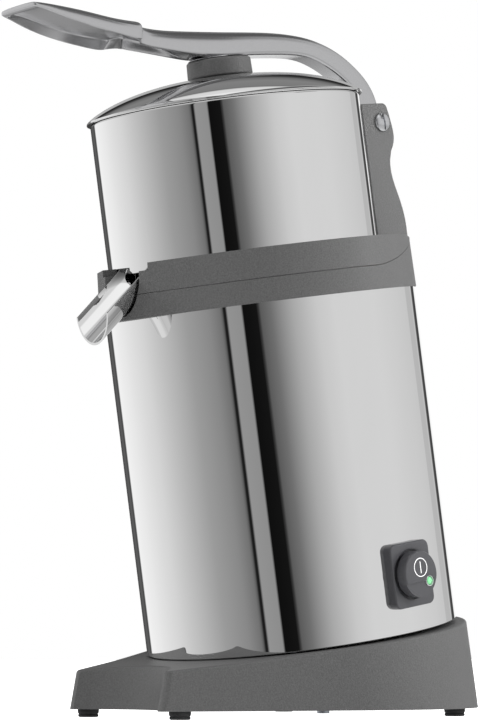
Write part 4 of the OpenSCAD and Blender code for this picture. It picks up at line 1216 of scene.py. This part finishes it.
@dataclass
class PowerSwitch:
    """The plate on the tube's side, the round power button and its lamp."""

    half_w: float = 17.25
    half_h: float = 20.0
    corner: float = 4.5
    chamfer: float = 1.1
    sunk: float = 4.5
    face: float = 104.6
    tube_r: float = 100.0
    recess_r: float = 15.25
    recess_floor: float = 102.0
    button_r: float = 14.35
    button_face: float = 111.9
    step_y: float = -4.8
    lamp: Point = (7.1, -5.2)
    lamp_r: float = 2.5
    lamp_floor: float = 2.3
    symbol_up: float = 4.0
    symbol_r: float = 5.85
    symbol_line: float = 0.5
    bar: Point = (0.3, 3.6)
    stem_r: float = 7.0
    stem_gap: float = 0.4
    step_depth: float = 0.8

    def plate(self) -> None:
        """Models the plate: chamfered, hollow round the button and fitted to the tube."""
        dx, dy = self.half_w - self.corner, self.half_h - self.corner
        outline = []
        for turn, (x, y) in zip((0, 90, 180, 270), ((dx, dy), (-dx, dy), (-dx, -dy), (dx, -dy))):
            outline += arc(x, y, self.corner, turn, turn + 90, 8)
        low = self.tube_r - self.sunk
        piece = Bench.plate("switch_plate_frame", [(x, y, low) for x, y in outline], (0, 0, self.face - low))
        Bench.edit(piece)
        Bench.pick_edges(lambda end: end.z > self.face - 0.1)
        bpy.ops.mesh.bevel(offset=self.chamfer * MM, segments=4, profile=0.5, affect="EDGES")
        bpy.ops.object.mode_set(mode="OBJECT")
        tube = Bench.rod("tube", self.tube_r + 0.03, (0, -60, 0), (0, 60, 0), 256)
        Bench.cut(piece, tube)
        r, face = self.recess_r, self.face
        well = [(0, self.recess_floor), (r, self.recess_floor), (r, face - 0.7), (r + 1.3, face + 0.02),
                (r + 1.3, face + 5), (0, face + 5)]
        Bench.cut(piece, Bench.turned("well", well, False, 96))
        hole = Bench.rod("stem_hole", self.stem_r + self.stem_gap, (0, 0, 80), (0, 0, 120), 64)
        Bench.cut(piece, hole)
        dress(piece, PLACE.switch(), 32, SWITCH_ABS, Body.STAND, "switch_plastic", "switch_plate")

    def button(self) -> None:
        """Models the button with its stepped face and the seat of the lamp."""
        r, top, low = self.button_r, self.button_face, self.recess_floor + 2.8
        profile = ([(0.0, low), (r - 0.3, low), (r, low + 0.3), (r, top - 1.6)]
                   + arc(r - 1.1, top - 1.1, 1.1, 8, 90, 6) + [(0.0, top)])
        piece = Bench.turned("power_button_cap", profile, False, 128)
        stem = Bench.rod("stem", self.stem_r, (0, 0, 96), (0, 0, top - 2), 48)
        Bench.weld(piece, stem, Weld.JOIN)
        step = Bench.block("step", (-20, -20, top - self.step_depth), (20, self.step_y, top + 3))
        Bench.cut(piece, step)
        seat = Bench.rod("seat", self.lamp_r + 0.9, (*self.lamp, top - 2.4), (*self.lamp, top + 3), 64)
        Bench.cut(piece, seat)
        Bench.round_edges(piece, 0.18, 2, 40)
        dress(piece, PLACE.switch(), 30, SWITCH_ABS, Body.BUTTON, "switch_plastic", "power_button")

    def symbol(self) -> None:
        """Models the printed power symbol, a ring with a bar in it."""
        low, high = self.button_face - 0.02, self.button_face + 0.05
        outer, inner = self.symbol_r, self.symbol_r - self.symbol_line
        ring = Bench.turned("ring", [(inner, low), (outer, low), (outer, high), (inner, high)], True, 96)
        half_w, half_h = self.bar
        bar = Bench.block("bar", (-half_w, -half_h, low), (half_w, half_h, high))
        piece = Bench.merge("power_symbol", [ring, bar])
        where = PLACE.switch() @ moved(0, self.symbol_up, 0)
        dress(piece, where, 30, WHITE_PRINT, Body.BUTTON, "switch_plastic")

    def lamp_parts(self) -> None:
        """Models the lamp's lens and the bright rim round it."""
        r, top = self.lamp_r, self.button_face
        place = PLACE.switch() @ moved(*self.lamp, 0)
        dome = [(0, top - self.lamp_floor), (r, top - self.lamp_floor), (r, top - 1.1)]
        dome += curve((2.3, top - 0.8), (1.8, top - 0.2), (1.0, top), (0.0, top + 0.05), 7)
        lens = Bench.turned("indicator_lens_dome", dome, False, 64)
        dress(lens, place, 40, GREEN_LENS, Body.BUTTON, "green_lens", "indicator_lens")
        ring = [(r + 0.1, top - 2.2), (r + 0.85, top - 2.2), (r + 0.85, top - 0.3), (r + 0.5, top + 0.05),
                (r + 0.15, top - 0.4)]
        rim = Bench.turned("lamp_rim", ring, True, 64)
        dress(rim, place, 40, BRIGHT_TRIM, Body.BUTTON, "switch_plastic")

    def build(self) -> None:
        """Models all pieces of the switch that show."""
        self.plate()
        self.button()
        self.symbol()
        self.lamp_parts()


# ---------------------------------------------------------------- nodes kept from the frame


@dataclass
class KeptNodes:
    """The frame's own nodes that stay as they are and only get their finish."""

    finishes: dict = field(default_factory=lambda: {
        ZINC_PLATE: ("base_plate", "base_plate_screws", "foot_screws", "tie_rods", "tie_rod_nuts",
                     "motor_bolts", "capacitor_clip"),
        BLACK_NYLON: ("cable_gland", "gland_nut", "switch_body", "cooling_fan"),
        BLACK_RUBBER: ("base_gasket", "shaft_seal", "slinger"),
        RAW_ALUMINIUM: ("motor_top_shield", "motor_bottom_shield"),
        LAMINATION: ("motor_stator", "rotor_core"),
        COPPER_WINDING: ("motor_windings",),
        BEARING_STEEL: ("upper_bearing", "lower_bearing", "motor_shaft", "drive_pin"),
        DRAWN_CAN: ("capacitor",),
        THERMOSET: ("terminal_block",),
        SATIN_STEEL: ("strainer", "pivot_nut", "lid_screw"),
        FOOD_ACETAL: ("press_cup", "reamer", "pivot_bushes"),
    })

    def build(self, nodes: dict[str, Piece]) -> None:
        """Assigns the finishes.

        Args:
            nodes: The frame's nodes by name.
        """
        for finish, names in self.finishes.items():
            for name in names:
                for slot in nodes[name].material_slots:
                    slot.material = finish.make()
                LOG.info("%s: %s", name, finish.name)


# ---------------------------------------------------------------- studio


@dataclass
class Studio:
    """The camera, the light tent with its dark flags, and the pale floor."""

    eye: Point = (1344.2, -1108.4, 42.3)
    azimuth: float = math.radians(50.4)
    look_up: float = math.radians(6.0)
    near: float = 0.05
    lens: float = 137.37
    sensor: float = 36.0
    floor_size: float = 14.0
    floor_glow: float = 0.35
    # The floor's glow to the camera alone
    floor_white: float = 1.1
    # Brightness round the body, by the angle from the camera: (degrees, sRGB grey)
    tent: tuple = (
        (-172, 62), (-157, 98), (-152, 74), (-149.6, 78), (-148.4, 255), (-128, 246), (-100, 225), (-58, 165),
        (-40, 145), (-31, 122), (-29.6, 112), (-29.2, 30), (-26.4, 30), (-26, 156), (-15, 150), (-14.6, 16),
        (-3.4, 22), (-1.6, 96), (6, 118), (22, 178), (40, 212), (54, 222), (88, 222), (118, 214), (134, 208),
        (134.6, 192), (145, 190), (147.5, 212), (149.5, 76), (157.5, 64), (160, 255), (180, 255))
    # Brightness over the bands, by the angle from the camera: (degrees, sRGB grey)
    sky: tuple = (
        (-180, 213), (-153, 213), (-149, 170), (-122, 176), (-100, 150), (-30, 150), (0, 205), (26, 214),
        (32, 254), (60, 252), (66, 116), (96, 104), (144, 96), (152, 215), (180, 216))
    # Where the sky starts, by the angle from the camera: (degrees, share of straight up)
    sky_from: tuple = (
        (-180, 0.6), (-30, 0.6), (28, 0.62), (60, 0.6), (66, 0.29), (88, 0.33), (96, 0.54), (180, 0.6))
    # How softly it starts, as a share of straight up
    sky_soft: float = 0.05
    # Brightness of the wall across from the camera, by height: (share of straight up, sRGB grey)
    far: tuple = (
        (0.1, 100), (0.14, 176), (0.33, 184), (0.36, 34), (0.41, 40), (0.46, 74), (0.5, 112), (0.6, 134),
        (0.77, 130), (0.8, 114), (0.82, 204), (0.85, 228), (0.92, 228), (0.96, 248), (1.0, 248))
    # Where that wall begins: degrees from the camera, and share of straight up
    far_turn: Point = (146.0, 153.0)
    far_up: Point = (0.11, 0.15)
    # Brightness under the bands, by depth: (share of straight down, sRGB grey)
    ground: tuple = ((0.1, 150), (0.14, 98), (0.27, 104), (0.34, 198), (0.58, 206), (0.7, 246), (1.0, 246))
    # Where the ground begins, as a share of straight down
    ground_from: Point = (0.115, 0.15)
    # How the bands streak the ground: from and to which depth, and their share there
    streaks: Point = (0.15, 0.5, 0.8, 0.3)
    # Name, place, aim, size and watts of each lamp
    softboxes: tuple = (
        ("key_softbox", (1100, 1300, 900), (0, 60, 200), 700, 20.0),
        ("rim_softbox", (520, 560, 420), (60, 120, 200), 380, 2.6),
        ("top_softbox", (700, -500, 1500), (0, 0, 300), 700, 13.0),
        ("fill_softbox", (-900, -1600, 260), (-40, -80, 40), 600, 14.0))

    def camera(self) -> None:
        """Sets the camera where the photograph was taken."""
        forward = Vector((-math.sin(self.azimuth) * math.cos(self.look_up),
                          math.cos(self.azimuth) * math.cos(self.look_up), math.sin(self.look_up)))
        right = Vector((math.cos(self.azimuth), math.sin(self.azimuth), 0))
        turn = Matrix((right, right.cross(forward), -forward)).transposed().to_4x4()
        Bench.clear()
        bpy.ops.object.camera_add()
        camera = bpy.context.object
        camera.name = "photo_camera"
        camera.matrix_world = Matrix.Translation(Vector(self.eye) * MM) @ turn
        camera.data.sensor_fit = "VERTICAL"
        camera.data.sensor_height = self.sensor
        camera.data.lens = self.lens
        camera.data.clip_start = self.near
        bpy.context.scene.camera = camera

    @staticmethod
    def ramp(tree: Tree, place: Socket, stops: Sequence[Point], by_angle: bool = True,
             grey: bool = True) -> Socket:
        """Adds a colour ramp and returns its output.

        Args:
            tree: The node tree.
            place: The output socket that picks the place on the ramp.
            stops: Pairs of place and value.
            by_angle: Whether the places are degrees from -180 to 180.
            grey: Whether the values are sRGB greys, or else plain numbers.
        """
        node = add_node(tree, "ShaderNodeValToRGB", inputs={"Fac": place})
        for _ in range(len(stops) - 2):
            node.color_ramp.elements.new(0.5)
        for stop, (spot, value) in zip(node.color_ramp.elements, stops):
            stop.position = (spot + 180) / 360 if by_angle else spot
            stop.color = linear("#" + f"{value:02x}" * 3) if grey else (value, value, value, 1.0)
        return node.outputs["Color"]

    @staticmethod
    def calculate(tree: Tree, kind: str, first: Socket, second: Socket | float = 0.0) -> Socket:
        """Adds a node of arithmetic and returns its output."""
        return add_node(tree, "ShaderNodeMath", {"operation": kind}, {0: first, 1: second}).outputs[0]

    def tent_light(self) -> None:
        """Builds the surroundings as a light tent: bands round the body, a bright top, a pale ground."""
        world = bpy.data.worlds.new("light_tent")
        bpy.context.scene.world = world
        world.use_nodes = True
        tree = world.node_tree
        tree.nodes.clear()
        axis = Vector((0, -math.sin(PLACE.lean), math.cos(PLACE.lean)))
        towards = Vector((math.sin(self.azimuth), -math.cos(self.azimuth), 0))
        towards = (towards - axis * towards.dot(axis)).normalized()
        way = add_node(tree, "ShaderNodeTexCoord").outputs["Generated"]
        side, front, up = (
            add_node(tree, "ShaderNodeVectorMath", {"operation": "DOT_PRODUCT"},
                     {0: way, 1: along}).outputs["Value"]
            for along in (axis.cross(towards), towards, axis))
        angle = self.calculate(tree, "ARCTAN2", side, front)
        turn = span(tree, angle, -math.pi, math.pi)
        bands = self.ramp(tree, turn, self.tent)
        above = self.calculate(tree, "SUBTRACT", up, self.ramp(tree, turn, self.sky_from, grey=False))
        is_sky = span(tree, above, -self.sky_soft, self.sky_soft, smooth=True)
        with_sky = mix(tree, is_sky, bands, self.ramp(tree, turn, self.sky))
        past = span(tree, self.calculate(tree, "ABSOLUTE", angle), *map(math.radians, self.far_turn),
                    smooth=True)
        is_far = self.calculate(tree, "MULTIPLY", past, span(tree, up, *self.far_up, smooth=True))
        with_far = mix(tree, is_far, with_sky, self.ramp(tree, up, self.far, by_angle=False))
        down = self.calculate(tree, "MULTIPLY", up, -1.0)
        pale = self.ramp(tree, down, self.ground, by_angle=False)
        ground = mix(tree, span(tree, down, *self.streaks), pale, bands)
        whole = mix(tree, span(tree, down, *self.ground_from, smooth=True), with_far, ground)
        seen = add_node(tree, "ShaderNodeLightPath").outputs["Is Camera Ray"]
        light = add_node(tree, "ShaderNodeBackground", inputs={
            "Color": mix(tree, seen, whole, (1.0, 1.0, 1.0, 1.0)), "Strength": 1.0})
        out = add_node(tree, "ShaderNodeOutputWorld")
        tree.links.new(light.outputs["Background"], out.inputs["Surface"])

    def lamps(self) -> None:
        """Hangs the soft lamps that shade the matt surfaces, kept out of the mirror finish."""
        for name, spot, aim, size, power in self.softboxes:
            Bench.clear()
            way = Vector(aim) - Vector(spot)
            bpy.ops.object.light_add(type="AREA", location=Vector(spot) * MM,
                                     rotation=way.to_track_quat("-Z", "Y").to_euler())
            lamp = bpy.context.object
            lamp.name = name
            lamp.data.size = size * MM
            lamp.data.energy = power
            lamp.visible_glossy = False

    def floor(self) -> None:
        """Lays the pale floor."""
        Bench.clear()
        bpy.ops.mesh.primitive_plane_add(size=self.floor_size, location=(0, 0, 0))
        floor = bpy.context.object
        floor.name = "studio_floor"
        finish = Finish("backlit_white_acrylic", "#f7f7f7", roughness=0.6, second_colour="#f4f4f4", speck=400)
        material = finish.make()
        shader = next(n for n in material.node_tree.nodes if n.type == "BSDF_PRINCIPLED")
        shader.inputs["Emission Color"].default_value = (1, 1, 1, 1)
        seen = add_node(material.node_tree, "ShaderNodeLightPath")
        glow = span(material.node_tree, seen.outputs["Is Camera Ray"], to_low=self.floor_glow,
                    to_high=self.floor_white)
        material.node_tree.links.new(glow, shader.inputs["Emission Strength"])
        floor.data.materials.append(material)
        floor.visible_glossy = False

    def build(self) -> None:
        """Sets up camera, light and floor."""
        self.camera()
        self.tent_light()
        self.lamps()
        self.floor()
        bpy.context.scene.view_settings.view_transform = "Standard"


# ---------------------------------------------------------------- assembly


def main() -> None:
    """Builds the juicer round the frame, piece by piece."""
    logging.basicConfig(level=logging.INFO, format="%(name)s %(message)s", stream=sys.stdout)
    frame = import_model()
    Studio().build()
    assemblies = (Base(), BodyTube(), Head(), JuiceBowl(), Spout(), Lid(), Lever(), Pivot(), PowerSwitch())
    for assembly in assemblies:
        LOG.info("building %s", type(assembly).__name__)
        assembly.build()
    KeptNodes().build(frame["nodes"])
    Bench.clear()


if __name__ == "__main__":
    main()
